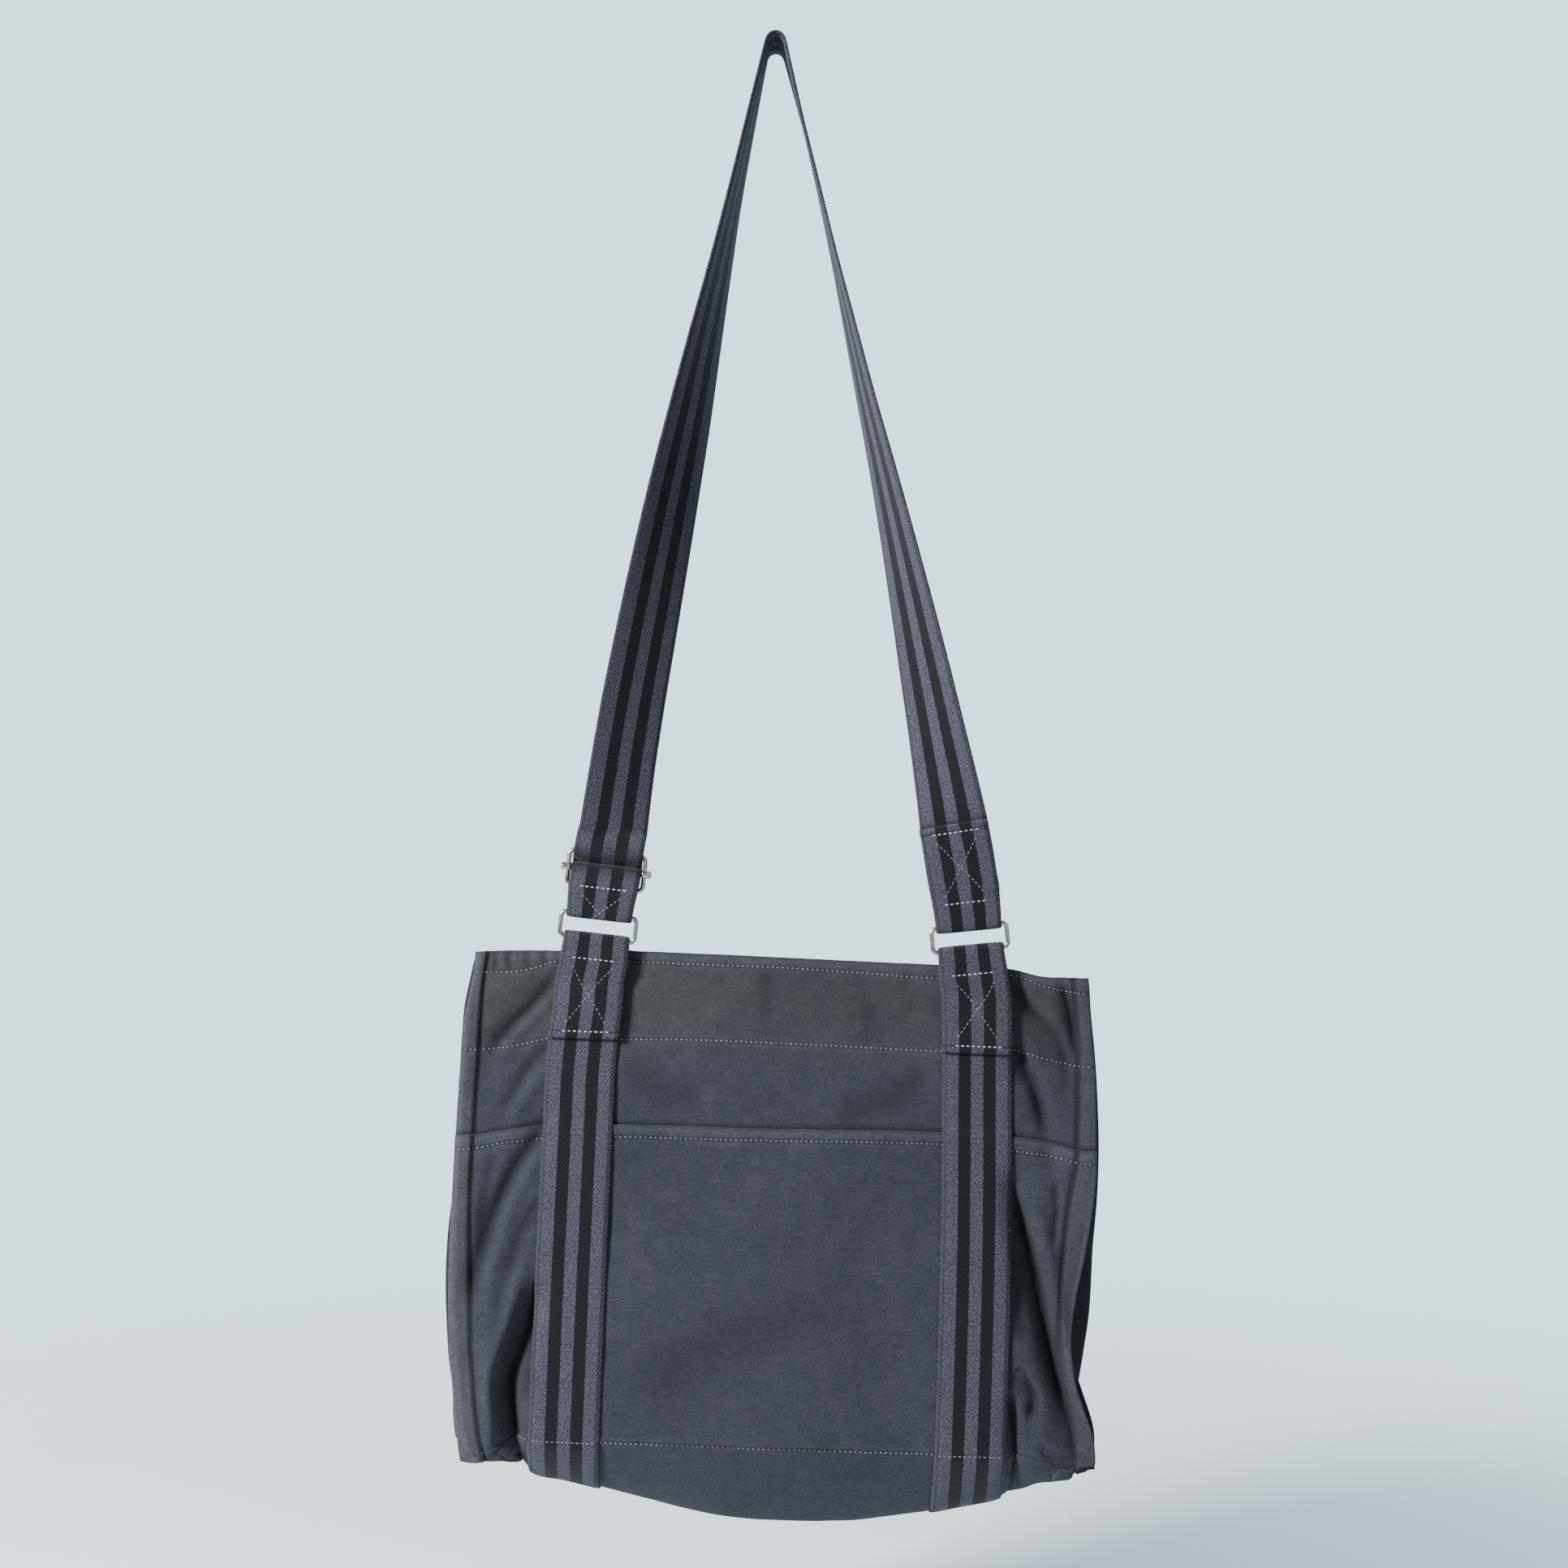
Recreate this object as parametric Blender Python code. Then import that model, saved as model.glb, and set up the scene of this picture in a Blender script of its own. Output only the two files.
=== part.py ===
"""A canvas shoulder bag hanging by its striped strap, empty, with two folded-in side walls.

Sizes are in millimetres and are turned into metres where a mesh is made. A point of the bag's body is
(across, depth, down): across runs from left to right, depth away from the viewer, and down from the top
edge to the base. The body leans in the part's frame, where +Z is up and the origin is the hanging point.
"""

import math

import bmesh
import bpy
import numpy as np

MM = 0.001
GAP = 0.3
CANVAS = 1.5
HALF_WIDTH = 175.0
HEIGHT = 262.0
LEAN = 2.2
# The middle of the top edge hangs this far below the hanging point, and this far to its right.
DROP, ASIDE = 505.7, 4.9
FRONT_TOP, FRONT_LOW = -5.0, -32.0
BACK_TOP, BACK_LOW = 9.0, 33.0
SAG = 48.0
# How far in a side wall folds, and how far it stays from the top edge and the base, more at its corners.
GUSSET_TOP, GUSSET_LOW = 40.0, 14.0
GUSSET_DROP, GUSSET_LIFT, GUSSET_CORNER = 2.0, 3.0, 5.0
RIDGE = 10.0
POCKET_HEM = 2.1
FOLD_WIDTH, FOLD_DEPTH, FOLD_CLEAR = 10.0, 10.0, 1.5

WEBBING = 37.5
WEBBING_THICK = 2.0
WEBBING_HALF = WEBBING / 2
LAYER = WEBBING_THICK + GAP
BACK_WEBBING_END = 8.0
# Below the top edge, where a webbing bends forward to its ring and where its folded end comes back to it.
BEND_START, TAIL_START = 10.5, 4.8
TAIL_CLEAR = 0.7

WIRE = 1.3
TURN = WIRE + GAP + WEBBING_THICK / 2
RING_PLAY, RING_WINDOW, RING_CORNER = 0.65, 10.8, 2.9
RING_WIDTH = WEBBING + 2 * (2 * WIRE + RING_PLAY)
RING_HEIGHT = RING_WINDOW + 4 * WIRE
RING_BAR = RING_HEIGHT / 2 - WIRE
SLIDER_PLAY, SLIDER_SLACK = 0.95, 1.95
SLIDER_WIDTH = WEBBING + 2 * (2 * WIRE + SLIDER_PLAY)
SLIDER_HEIGHT = 6 * WIRE + 2 * (2 * LAYER + GAP + SLIDER_SLACK)
SLIDER_BAR = SLIDER_HEIGHT / 2 - WIRE
# A webbing is a little narrower where it goes round a ring: it clears the ring's round corners.
PINCHED = RING_WIDTH / 2 - WIRE - RING_CORNER - GAP
PINCH_START, PINCH_REACH = 7.0, 18.0
KNOB_WALL, KNOB_PAST, KNOB_EDGE = 0.6, 2.7, 1.0
HARDWARE_DEPTH = FRONT_TOP - 2 * WEBBING_THICK
HANG = {"left": 6.5, "right": -5.5}
RING_RISE = {"left": 13.9, "right": 15.5}
SLIDER_RISE, SLIDER_DRIFT = 31.2, 0.97

STRAP_TAIL, SLIDER_TAIL, SLIDER_TAIL_DEPTH = 60.0, 18.0, 1.4
# How far the strap runs straight past the slider and past the right ring, and its depth there.
LEFT_RUN, RIGHT_RUN, TAIL_RUN = 10.0, 22.0, 8.0
LEG_DEPTH = {"left": -0.5, "right": 0.8}
LEG_ROWS = 28
ARCH, ARCH_RISE, ARCH_ASIDE, ARCH_TURN = 5.2, 1.0, 0.3, 14.0
FACETS = 12

# Shares of HEIGHT, then shares of HALF_WIDTH.
FRONT_EDGES = (
    # down, left edge, left stitch, right stitch, right edge
    (0.011, -0.971, -0.929, 0.912, 0.962),
    (0.057, -0.982, -0.937, 0.920, 0.967),
    (0.126, -0.998, -0.943, 0.931, 0.977),
    (0.214, -1.001, -0.944, 0.936, 0.989),
    (0.328, -1.003, -0.946, 0.938, 0.995),
    (0.393, -1.002, -0.946, 0.937, 0.996),
    (0.477, -1.002, -0.947, 0.915, 0.985),
    (0.565, -1.001, -0.943, 0.902, 0.965),
    (0.653, -0.997, -0.936, 0.895, 0.941),
    (0.725, -0.991, -0.929, 0.893, 0.930),
    (0.786, -0.982, -0.922, 0.897, 0.933),
    (0.828, -0.975, -0.917, 0.905, 0.945),
    (0.874, -0.966, -0.907, 0.919, 0.969),
    (0.916, -0.957, -0.900, 0.931, 0.993),
    (0.960, -0.947, -0.889, 0.945, 1.011),
    (1.000, -0.936, -0.877, 0.951, 1.014),
    (1.046, -0.903, -0.857, 0.949, 1.000),
)
BACK_EDGES = (
    # down, left edge, left stitch, right stitch, right edge
    (0.01, -0.965, -0.910, 0.905, 0.960),
    (0.25, -0.990, -0.935, 0.955, 1.010),
    (0.45, -1.010, -0.955, 0.975, 1.030),
    (0.60, -1.040, -0.985, 0.970, 1.025),
    (0.76, -1.045, -0.990, 0.968, 1.023),
    (0.85, -1.035, -0.980, 0.955, 1.010),
    (0.93, -1.018, -0.963, 0.940, 0.998),
    (1.00, -1.010, -0.950, 0.940, 0.995),
    (1.08, -0.985, -0.935, 0.935, 0.985),
)
WEBBING_LINE = (
    # down, left middle, right middle
    (-0.05, -0.587, 0.580),
    (0.00, -0.600, 0.600),
    (0.12, -0.610, 0.613),
    (0.22, -0.622, 0.618),
    (0.40, -0.623, 0.624),
    (0.55, -0.623, 0.628),
    (1.10, -0.620, 0.630),
)
# Where each level lies down the front, as a share of HEIGHT.
FRONT_LEVELS = (
    # across, top edge, hem, pocket edge, base seam
    (-1.000, 0.013, 0.215, 0.390, 1.034),
    (-0.931, 0.010, 0.214, 0.388, 1.036),
    (-0.857, 0.007, 0.207, 0.378, 1.023),
    (-0.783, 0.005, 0.195, 0.370, 1.001),
    (-0.726, 0.004, 0.185, 0.364, 1.000),
    (-0.623, 0.001, 0.183, 0.361, 1.000),
    (-0.503, -0.001, 0.182, 0.358, 1.000),
    (-0.257, -0.001, 0.177, 0.356, 1.001),
    (0.000, 0.000, 0.177, 0.354, 1.001),
    (0.257, 0.002, 0.179, 0.350, 1.000),
    (0.503, 0.003, 0.181, 0.349, 0.998),
    (0.623, 0.004, 0.177, 0.350, 0.997),
    (0.731, 0.008, 0.174, 0.351, 0.996),
    (0.811, 0.019, 0.186, 0.358, 0.997),
    (0.891, 0.020, 0.198, 0.367, 1.011),
    (0.943, 0.019, 0.202, 0.375, 1.014),
    (1.000, 0.018, 0.202, 0.375, 1.011),
)
BACK_LEVELS = (
    # across, top edge, hem, middle, base seam
    (-1.00, 0.020, 0.220, 0.560, 1.075),
    (-0.62, 0.005, 0.200, 0.540, 1.030),
    (0.00, 0.006, 0.200, 0.540, 1.030),
    (0.62, 0.018, 0.200, 0.540, 1.030),
    (1.00, 0.036, 0.215, 0.560, 1.050),
)
# Levels run from 0 at the top edge, by 1 at the hem and 2 at the pocket edge, to 3 at the base seam.
FRONT_ROWS = (0, 0.35, 0.7, 1, 1.45, 1.86, 2, 2.08, 2.2, 2.32, 2.44, 2.55, 2.65, 2.75, 2.84, 2.93, 3)
BACK_ROWS = (0, 0.4, 1, 1.35, 1.7, 2, 2.2, 2.4, 2.6, 2.8, 2.92, 3)
GUSSET_ROWS = (0, 0.4, 0.8, 1.2, 1.6, 2, 2.15, 2.3, 2.45, 2.6, 2.75, 2.88, 3)
BASE_SAG = (
    # across, sag
    (-1.000, 0.16),
    (-0.857, 0.25),
    (-0.731, 0.39),
    (-0.623, 0.49),
    (-0.503, 0.60),
    (-0.343, 0.75),
    (-0.171, 0.86),
    (0.000, 0.895),
    (0.171, 0.89),
    (0.343, 0.84),
    (0.503, 0.74),
    (0.623, 0.63),
    (0.731, 0.53),
    (0.840, 0.37),
    (0.914, 0.24),
    (1.000, 0.16),
)
# One row for each cloth fold of the front: three points in shares of HALF_WIDTH and HEIGHT, then its
# width and depth as shares of FOLD_WIDTH and FOLD_DEPTH. A negative depth is a fold that stands out.
FRONT_FOLDS = (
    # start across, down, middle across, down, end across, down, width, depth
    (-0.73, 0.72, -0.85, 0.88, -0.77, 1.02, 0.75, 0.75),
    (-0.87, 0.66, -0.86, 0.85, -0.87, 1.02, 0.80, -0.40),
    (-0.73, 0.37, -0.84, 0.48, -0.92, 0.68, 0.90, 0.32),
    (-0.70, 0.07, -0.80, 0.13, -0.93, 0.23, 1.00, 0.30),
    (0.74, 0.45, 0.81, 0.66, 0.94, 0.95, 0.70, 0.95),
    (0.74, 0.17, 0.82, 0.27, 0.86, 0.40, 0.60, 0.35),
    (0.71, 0.03, 0.80, 0.08, 0.92, 0.26, 0.80, 0.30),
    (0.88, 0.04, 0.91, 0.09, 0.93, 0.18, 0.45, 0.25),
    (0.77, 0.84, 0.83, 0.87, 0.80, 0.93, 0.50, 0.30),
    (0.76, 0.89, 0.77, 0.95, 0.77, 1.03, 0.50, 0.45),
    (0.00, 0.45, 0.05, 0.62, 0.00, 0.80, 5.00, -0.25),
    (-0.25, 0.00, -0.10, 0.03, 0.20, 0.05, 2.20, 0.12),
)
BACK_FOLDS = (
    (-0.80, 0.45, -0.84, 0.66, -0.86, 0.95, 0.90, -0.50),
    (0.80, 0.40, 0.84, 0.62, 0.86, 0.92, 0.90, -0.50),
    (-0.05, 0.30, 0.05, 0.55, 0.00, 0.85, 5.00, 0.25),
)
# A side wall from the front ridge to the back ridge: how far in, with -1 on the ridge, and how far back.
GUSSET_SECTION = (
    # inwards, backwards
    (-1.00, 0.00),
    (0.00, 0.00),
    (0.14, 0.06),
    (0.36, 0.20),
    (0.60, 0.36),
    (0.86, 0.62),
    (1.00, 1.00),
)
BASE_STEPS = (0.0, 0.05, 0.11, 0.19, 0.29, 0.40, 0.50, 0.60, 0.71, 0.81, 0.89, 0.95, 1.0)
BASE_ROUND = 2.4
# Each leg of the strap, as shares of the way from the hanging point to the leg's low end, and the turn
# about its own line in degrees.
STRAP_LEFT = (
    # down, across, turn
    (0.104, 0.156, 4.0),
    (0.196, 0.251, 8.5),
    (0.289, 0.343, 16.0),
    (0.381, 0.437, 25.6),
    (0.474, 0.529, 35.5),
    (0.565, 0.621, 44.2),
    (0.658, 0.710, 51.5),
    (0.750, 0.795, 57.5),
    (0.843, 0.878, 62.5),
    (0.935, 0.949, 67.0),
    (0.994, 0.989, 74.0),
)
STRAP_RIGHT = (
    # down, across, turn
    (0.099, 0.154, -4.0),
    (0.180, 0.239, -2.0),
    (0.261, 0.320, 1.0),
    (0.343, 0.402, 6.0),
    (0.424, 0.483, 11.0),
    (0.506, 0.568, 17.5),
    (0.588, 0.648, 25.0),
    (0.669, 0.723, 33.5),
    (0.750, 0.795, 43.0),
    (0.831, 0.865, 53.0),
    (0.913, 0.932, 70.0),
    (0.972, 0.975, 90.0),
    (0.994, 0.990, 90.0),
)


def smooth(t, keys, values):
    """A smooth curve through the values at the keys, level beyond both ends."""
    keys, values = np.asarray(keys, float), np.asarray(values, float)
    slope = np.gradient(values, keys)
    t = np.clip(t, keys[0], keys[-1])
    i = np.clip(np.searchsorted(keys, t, side="right") - 1, 0, len(keys) - 2)
    step = keys[i + 1] - keys[i]
    u = (t - keys[i]) / step
    start = (1 + 2 * u) * (1 - u) ** 2 * values[i] + u * (1 - u) ** 2 * step * slope[i]
    return start + u * u * (3 - 2 * u) * values[i + 1] - u * u * (1 - u) * step * slope[i + 1]


def column(table, name, t):
    """One named column of a table, read smoothly at t in its first column."""
    rows = np.array(table)
    return smooth(t, rows[:, 0], rows[:, name])


def fold_depth(folds, across, down):
    """How far the folds push the cloth back at a point."""
    depth = np.zeros(np.broadcast(across, down).shape)
    steps = np.linspace(0, 1, 25)
    for x0, d0, x1, d1, x2, d2, width, height in folds:
        a, b, c = (1 - steps) ** 2, 2 * steps * (1 - steps), steps**2
        line_x = (a * x0 + b * x1 + c * x2) * HALF_WIDTH
        line_d = (a * d0 + b * d1 + c * d2) * HEIGHT
        away = (across[..., None] - line_x) ** 2 + (down[..., None] - line_d) ** 2
        nearest = steps[away.argmin(axis=-1)]
        fade = np.sin(np.pi * np.clip(0.12 + 0.76 * nearest, 0, 1)) ** 0.8
        spread = np.exp(-away.min(axis=-1) / (width * FOLD_WIDTH) ** 2)
        depth += height * FOLD_DEPTH * fade * spread
    return depth


def ease(t):
    t = np.clip(t, 0, 1)
    return t * t * (3 - 2 * t)


def front_depth(across, down):
    share = down / HEIGHT
    depth = FRONT_TOP + (FRONT_LOW - FRONT_TOP) * (0.5 * ease(share) + 0.5 * np.clip(share, 0, 1.1))
    return depth + fold_depth(FRONT_FOLDS, across, down)


def back_depth(across, down):
    share = down / HEIGHT
    depth = BACK_TOP + (BACK_LOW - BACK_TOP) * (0.5 * ease(share) + 0.5 * np.clip(share, 0, 1.1))
    return depth + fold_depth(BACK_FOLDS, across, down)


def between(start, end, count):
    """The shares of count columns between two named ones."""
    return [start + (end - start) * (i + 1) / (count + 1) for i in range(count)]


def columns(edges, down):
    """How far across each column of a wall lies at each point down it, a column to a row."""
    share = down / HEIGHT
    left, left_stitch, right_stitch, right = (column(edges, i, share) * HALF_WIDTH for i in (1, 2, 3, 4))
    middles = [column(WEBBING_LINE, i, share) * HALF_WIDTH for i in (1, 2)]
    first, second = ([m - WEBBING_HALF, m, m + WEBBING_HALF] for m in middles)
    lines = [left, left_stitch]
    lines += between(left_stitch, first[0], SIDE_COLUMNS) + first
    lines += between(first[2], second[0], MIDDLE_COLUMNS) + second
    lines += between(second[2], right_stitch, SIDE_COLUMNS)
    return np.array([*lines, right_stitch, right])


SIDE_COLUMNS, MIDDLE_COLUMNS = 6, 5
LEFT_WEBBING = 2 + SIDE_COLUMNS
RIGHT_WEBBING = LEFT_WEBBING + 3 + MIDDLE_COLUMNS


def wall_grid(edges, levels, rows, depth_of, drop=0.0):
    """Points of a wall's outer face, a row to a level and a column to a line down it."""
    rows = np.array(rows, float)
    table = np.array(levels)
    guess = np.interp(rows, range(4), table[len(table) // 2, 1:]) * HEIGHT
    across = columns(edges, guess).T
    marks = np.stack([smooth(across / HALF_WIDTH, table[:, 0], table[:, i]) for i in (1, 2, 3, 4)], axis=-1)
    low = np.clip(rows.astype(int), 0, 2)
    part = (rows - low)[:, None]
    level = np.arange(len(rows))
    down = np.stack([marks[i, :, low[i]] * (1 - part[i]) + marks[i, :, low[i] + 1] * part[i] for i in level])
    down = down * HEIGHT + drop
    return np.stack([across, depth_of(across, down), down], axis=-1)


def normals(grid):
    """Unit normals of a grid of points, along its second axis crossed with its first."""
    first, second = np.gradient(grid, axis=0), np.gradient(grid, axis=1)
    normal = np.cross(second, first)
    return normal / np.linalg.norm(normal, axis=-1, keepdims=True)


def raised(grid, height):
    """The grid moved along its normals by a height, or by a height for each row."""
    return grid + normals(grid) * np.asarray(height, float).reshape(-1, 1, 1)


def shortened(grid, start, end):
    """The grid with its first and last rows moved in along the columns."""
    grid = grid.copy()
    for edge, inner, amount in ((0, 1, start), (-1, -2, end)):
        step = grid[inner] - grid[edge]
        grid[edge] += step / np.linalg.norm(step, axis=-1, keepdims=True) * amount
    return grid


def placed(grid):
    """Body points (across, depth, down) as points of the part's frame, in millimetres."""
    lean = math.radians(LEAN)
    across, depth, down = grid[..., 0], grid[..., 1], grid[..., 2]
    x = ASIDE + across * math.cos(lean) - down * math.sin(lean)
    z = -DROP - across * math.sin(lean) - down * math.cos(lean)
    return np.stack([x, depth, z], axis=-1)


def material(name, colour, roughness, metallic=0.0):
    found = bpy.data.materials.get(name)
    if found:
        return found
    made = bpy.data.materials.new(name)
    made.use_nodes = True
    shader = made.node_tree.nodes["Principled BSDF"]
    shader.inputs["Base Color"].default_value = (*colour, 1.0)
    shader.inputs["Roughness"].default_value = roughness
    shader.inputs["Metallic"].default_value = metallic
    return made


def add_object(name, points, faces, look):
    """A mesh object from points in millimetres, its faces turned outwards."""
    mesh = bpy.data.meshes.new(name)
    mesh.from_pydata([tuple(p) for p in np.asarray(points) * MM], [], faces)
    work = bmesh.new()
    work.from_mesh(mesh)
    bmesh.ops.recalc_face_normals(work, faces=work.faces)
    if work.calc_volume(signed=True) < 0:
        bmesh.ops.reverse_faces(work, faces=work.faces)
    work.to_mesh(mesh)
    work.free()
    mesh.materials.append(look)
    made = bpy.data.objects.new(name, mesh)
    bpy.context.scene.collection.objects.link(made)
    return made


def add_wall(name, outer, inner, look):
    """A closed wall between two grids of points."""
    rows, cols = outer.shape[:2]
    points = np.concatenate([outer.reshape(-1, 3), inner.reshape(-1, 3)])
    under = rows * cols
    faces = []
    for r in range(rows - 1):
        for c in range(cols - 1):
            a, b, d, e = r * cols + c, r * cols + c + 1, (r + 1) * cols + c + 1, (r + 1) * cols + c
            faces += [(a, b, d, e), (a + under, e + under, d + under, b + under)]
    rim = [c for c in range(cols)] + [r * cols + cols - 1 for r in range(1, rows)]
    rim += [(rows - 1) * cols + c for c in range(cols - 2, -1, -1)] + [r * cols for r in range(rows - 2, 0, -1)]
    for a, b in zip(rim, rim[1:] + rim[:1]):
        faces.append((b, a, a + under, b + under))
    return add_object(name, points, faces, look)


def add_tube(name, line, radius, look, sides=10):
    """A closed loop of round wire along a line of points that lie in one plane facing the viewer."""
    line = np.asarray(line, float)
    tangent = np.roll(line, -1, axis=0) - np.roll(line, 1, axis=0)
    tangent /= np.linalg.norm(tangent, axis=1, keepdims=True)
    away = np.array([0.0, 1.0, 0.0])
    sideways = np.cross(tangent, away)
    points, faces, count = [], [], len(line)
    for p, s in zip(line, sideways):
        for k in range(sides):
            turn = 2 * math.pi * (k + 0.5) / sides
            points.append(p + radius * (math.cos(turn) * s + math.sin(turn) * away))
    for i in range(count):
        for k in range(sides):
            j, m = (i + 1) % count, (k + 1) % sides
            faces.append((i * sides + k, i * sides + m, j * sides + m, j * sides + k))
    return add_object(name, points, faces, look)


def add_lathe(name, profile, frame, look):
    """A solid turned about its own X axis from rows of (along, radius), carried by a frame."""
    points, faces = [], []
    for along, radius in profile:
        for k in range(FACETS):
            turn = 2 * math.pi * k / FACETS
            points.append(frame(along, radius * math.cos(turn), radius * math.sin(turn)))
    for i in range(len(profile) - 1):
        for k in range(FACETS):
            m = (k + 1) % FACETS
            faces.append((i * FACETS + k, i * FACETS + m, (i + 1) * FACETS + m, (i + 1) * FACETS + k))
    last = (len(profile) - 1) * FACETS
    faces += [tuple(range(FACETS)), tuple(range(last, last + FACETS))]
    return add_object(name, points, faces, look)


def hung_frame(centre, tilt):
    """A frame of a hanging fitting: its own across, depth and up as a point of the part's frame."""
    angle = math.radians(tilt)
    right = np.array([math.cos(angle), 0.0, -math.sin(angle)])
    up = np.array([math.sin(angle), 0.0, math.cos(angle)])

    def at(across, depth, height):
        return centre + right * across + up * height + np.array([0.0, depth, 0.0])

    return at


def ring_frame(side):
    """The frame of a ring, which hangs over its webbing's middle line above the top edge."""
    middle = 1 if side == "left" else 2
    rise = RING_RISE[side]
    across = column(WEBBING_LINE, middle, -rise / HEIGHT) * HALF_WIDTH
    return hung_frame(placed(np.array([across, HARDWARE_DEPTH, -rise])), HANG[side])


def slider_frame():
    """The frame of the slider, up the strap from the left ring."""
    return hung_frame(ring_frame("left")(SLIDER_DRIFT, 0.0, SLIDER_RISE), HANG["left"])


def rounded_rectangle(width, height, radius, steps=4):
    """Corner points of a rounded rectangle of the wire's middle line."""
    half = ((width / 2 - WIRE - radius), (height / 2 - WIRE - radius))
    points = []
    for k, (sx, sz) in enumerate(((1, 1), (-1, 1), (-1, -1), (1, -1))):
        for i in range(steps + 1):
            turn = math.pi / 2 * (k + i / steps)
            points.append((sx * half[0] + radius * math.cos(turn), sz * half[1] + radius * math.sin(turn)))
    return points


def wire_frame(name, at, width, height):
    """A ring or slider frame of round wire, in the plane of its own frame."""
    line = [at(x, 0.0, z) for x, z in rounded_rectangle(width, height, RING_CORNER)]
    return add_tube(name, line, WIRE, material("steel_" + name, (0.62, 0.62, 0.62), 0.3, 1.0))


def slider_bar(name, at):
    """The slider's centre bar: a rod with a knob at each end that holds the frame's side wire."""
    side = SLIDER_WIDTH / 2 - WIRE
    hole = WIRE + GAP
    knob = hole + KNOB_WALL
    start, end = WEBBING_HALF + GAP, SLIDER_WIDTH / 2 + KNOB_PAST
    half = [(start, WIRE), (start + GAP / 3, knob - GAP), (start + KNOB_EDGE, knob)]
    half += [(end - KNOB_EDGE, knob), (end, WIRE)]
    profile = [(-a, r) for a, r in reversed(half)] + half
    bar = add_lathe(name, profile, at, material("steel_" + name, (0.6, 0.6, 0.6), 0.3, 1.0))
    for sign in (-1, 1):
        cut_round_hole(bar, at(sign * side, 0.0, -2 * knob), at(sign * side, 0.0, 2 * knob), hole)
    return bar


def cut_round_hole(target, start, end, radius):
    """Cuts a round hole from one point to another out of a solid."""
    axis = (end - start) / np.linalg.norm(end - start)
    first = np.cross(axis, [0.0, 1.0, 0.0])
    first /= np.linalg.norm(first)
    second = np.cross(axis, first)
    points = []
    for p in (start, end):
        for k in range(FACETS):
            turn = 2 * math.pi * (k + 0.5) / FACETS
            points.append(p + radius * (math.cos(turn) * first + math.sin(turn) * second))
    faces = [(k, (k + 1) % FACETS, FACETS + (k + 1) % FACETS, FACETS + k) for k in range(FACETS)]
    faces += [tuple(range(FACETS)), tuple(range(FACETS, 2 * FACETS))]
    cutter = add_object("cutter", points, faces, target.data.materials[0])
    cutter.hide_render = True
    cutter.display_type = "WIRE"
    cut = target.modifiers.new("hole", "BOOLEAN")
    cut.operation, cut.solver, cut.object = "DIFFERENCE", "EXACT", cutter
    bpy.context.view_layer.update()
    shape = target.evaluated_get(bpy.context.evaluated_depsgraph_get())
    result = bpy.data.meshes.new_from_object(shape)
    target.modifiers.clear()
    target.data = result
    bpy.data.objects.remove(cutter)


def threaded(stops, arc=6):
    """The middle line of a band pulled round bars: rows of (height, depth, radius, turn).

    A turn of 1 runs round the bar with the bar on the band's left and -1 with it on the right. The first
    and last stops are the band's ends.
    """
    centres = np.array([[s[0], s[1]] for s in stops], float)
    offset = np.array([s[2] * s[3] for s in stops], float)
    runs = []
    for i in range(len(stops) - 1):
        step = centres[i + 1] - centres[i]
        length = np.linalg.norm(step)
        change = offset[i + 1] - offset[i]
        turn = -math.asin(change / length)
        cos, sin = math.cos(turn), math.sin(turn)
        along = np.array([cos * step[0] - sin * step[1], sin * step[0] + cos * step[1]]) / length
        left = np.array([-along[1], along[0]])
        runs.append((centres[i] - offset[i] * left, centres[i + 1] - offset[i + 1] * left))
    line = [runs[0][0]]
    for i in range(1, len(stops) - 1):
        enter, leave, middle = runs[i - 1][1], runs[i][0], centres[i]
        start = math.atan2(*(enter - middle)[::-1])
        end = math.atan2(*(leave - middle)[::-1])
        way = stops[i][3]
        sweep = ((end - start) * way) % (2 * math.pi)
        if sweep > 1.9 * math.pi:
            sweep = 0.0
        count = max(1, math.ceil(sweep / math.pi * arc))
        for k in range(count + 1):
            turn = start + way * sweep * k / count
            line.append(middle + stops[i][2] * np.array([math.cos(turn), math.sin(turn)]))
    line.append(runs[-1][1])
    return np.array(line)


def split_long(line, longest):
    """The line with its long steps divided."""
    made = [line[0]]
    for a, b in zip(line, line[1:]):
        count = max(1, math.ceil(np.linalg.norm(b - a) / longest))
        made += [a + (b - a) * (k + 1) / count for k in range(count)]
    return np.array(made)


def add_band(name, middle, sideways, look):
    """A webbing from its middle line and the direction across it at each point."""
    pinch = ring_pinch(middle)
    tangent = np.gradient(middle, axis=0)
    normal = np.cross(tangent, sideways)
    normal /= np.linalg.norm(normal, axis=1, keepdims=True)
    steps = np.array([-1.0, 0.0, 1.0])[None, :, None] * pinch
    flat = middle[:, None, :] + sideways[:, None, :] * steps
    push = normal[:, None, :] * WEBBING_THICK / 2
    return add_wall(name, flat + push, flat - push, look)


def ring_pinch(points):
    """Half the webbing's width at each point: a little less where it goes through a ring."""
    rings = [ring_frame(side)(0.0, 0.0, 0.0) for side in ("left", "right")]
    away = np.min([np.linalg.norm((points - ring)[:, ::2], axis=1) for ring in rings], axis=0)
    near = 1 - ease((away - PINCH_START) / PINCH_REACH)
    return (WEBBING_HALF - (WEBBING_HALF - PINCHED) * near)[:, None, None]


def fitting_line(side, stops):
    """A threaded line in the plane of a ring's hanging direction, and the direction across it."""
    at = ring_frame(side)
    line = split_long(threaded(stops), RIGHT_RUN / 3)
    drift = SLIDER_DRIFT / (SLIDER_RISE - RING_BAR) if side == "left" else 0.0
    points = np.array([at(drift * max(height - RING_BAR, 0.0), depth, height) for height, depth in line])
    return points, np.tile(at(1.0, 0, 0) - at(0.0, 0, 0), (len(points), 1))


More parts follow.
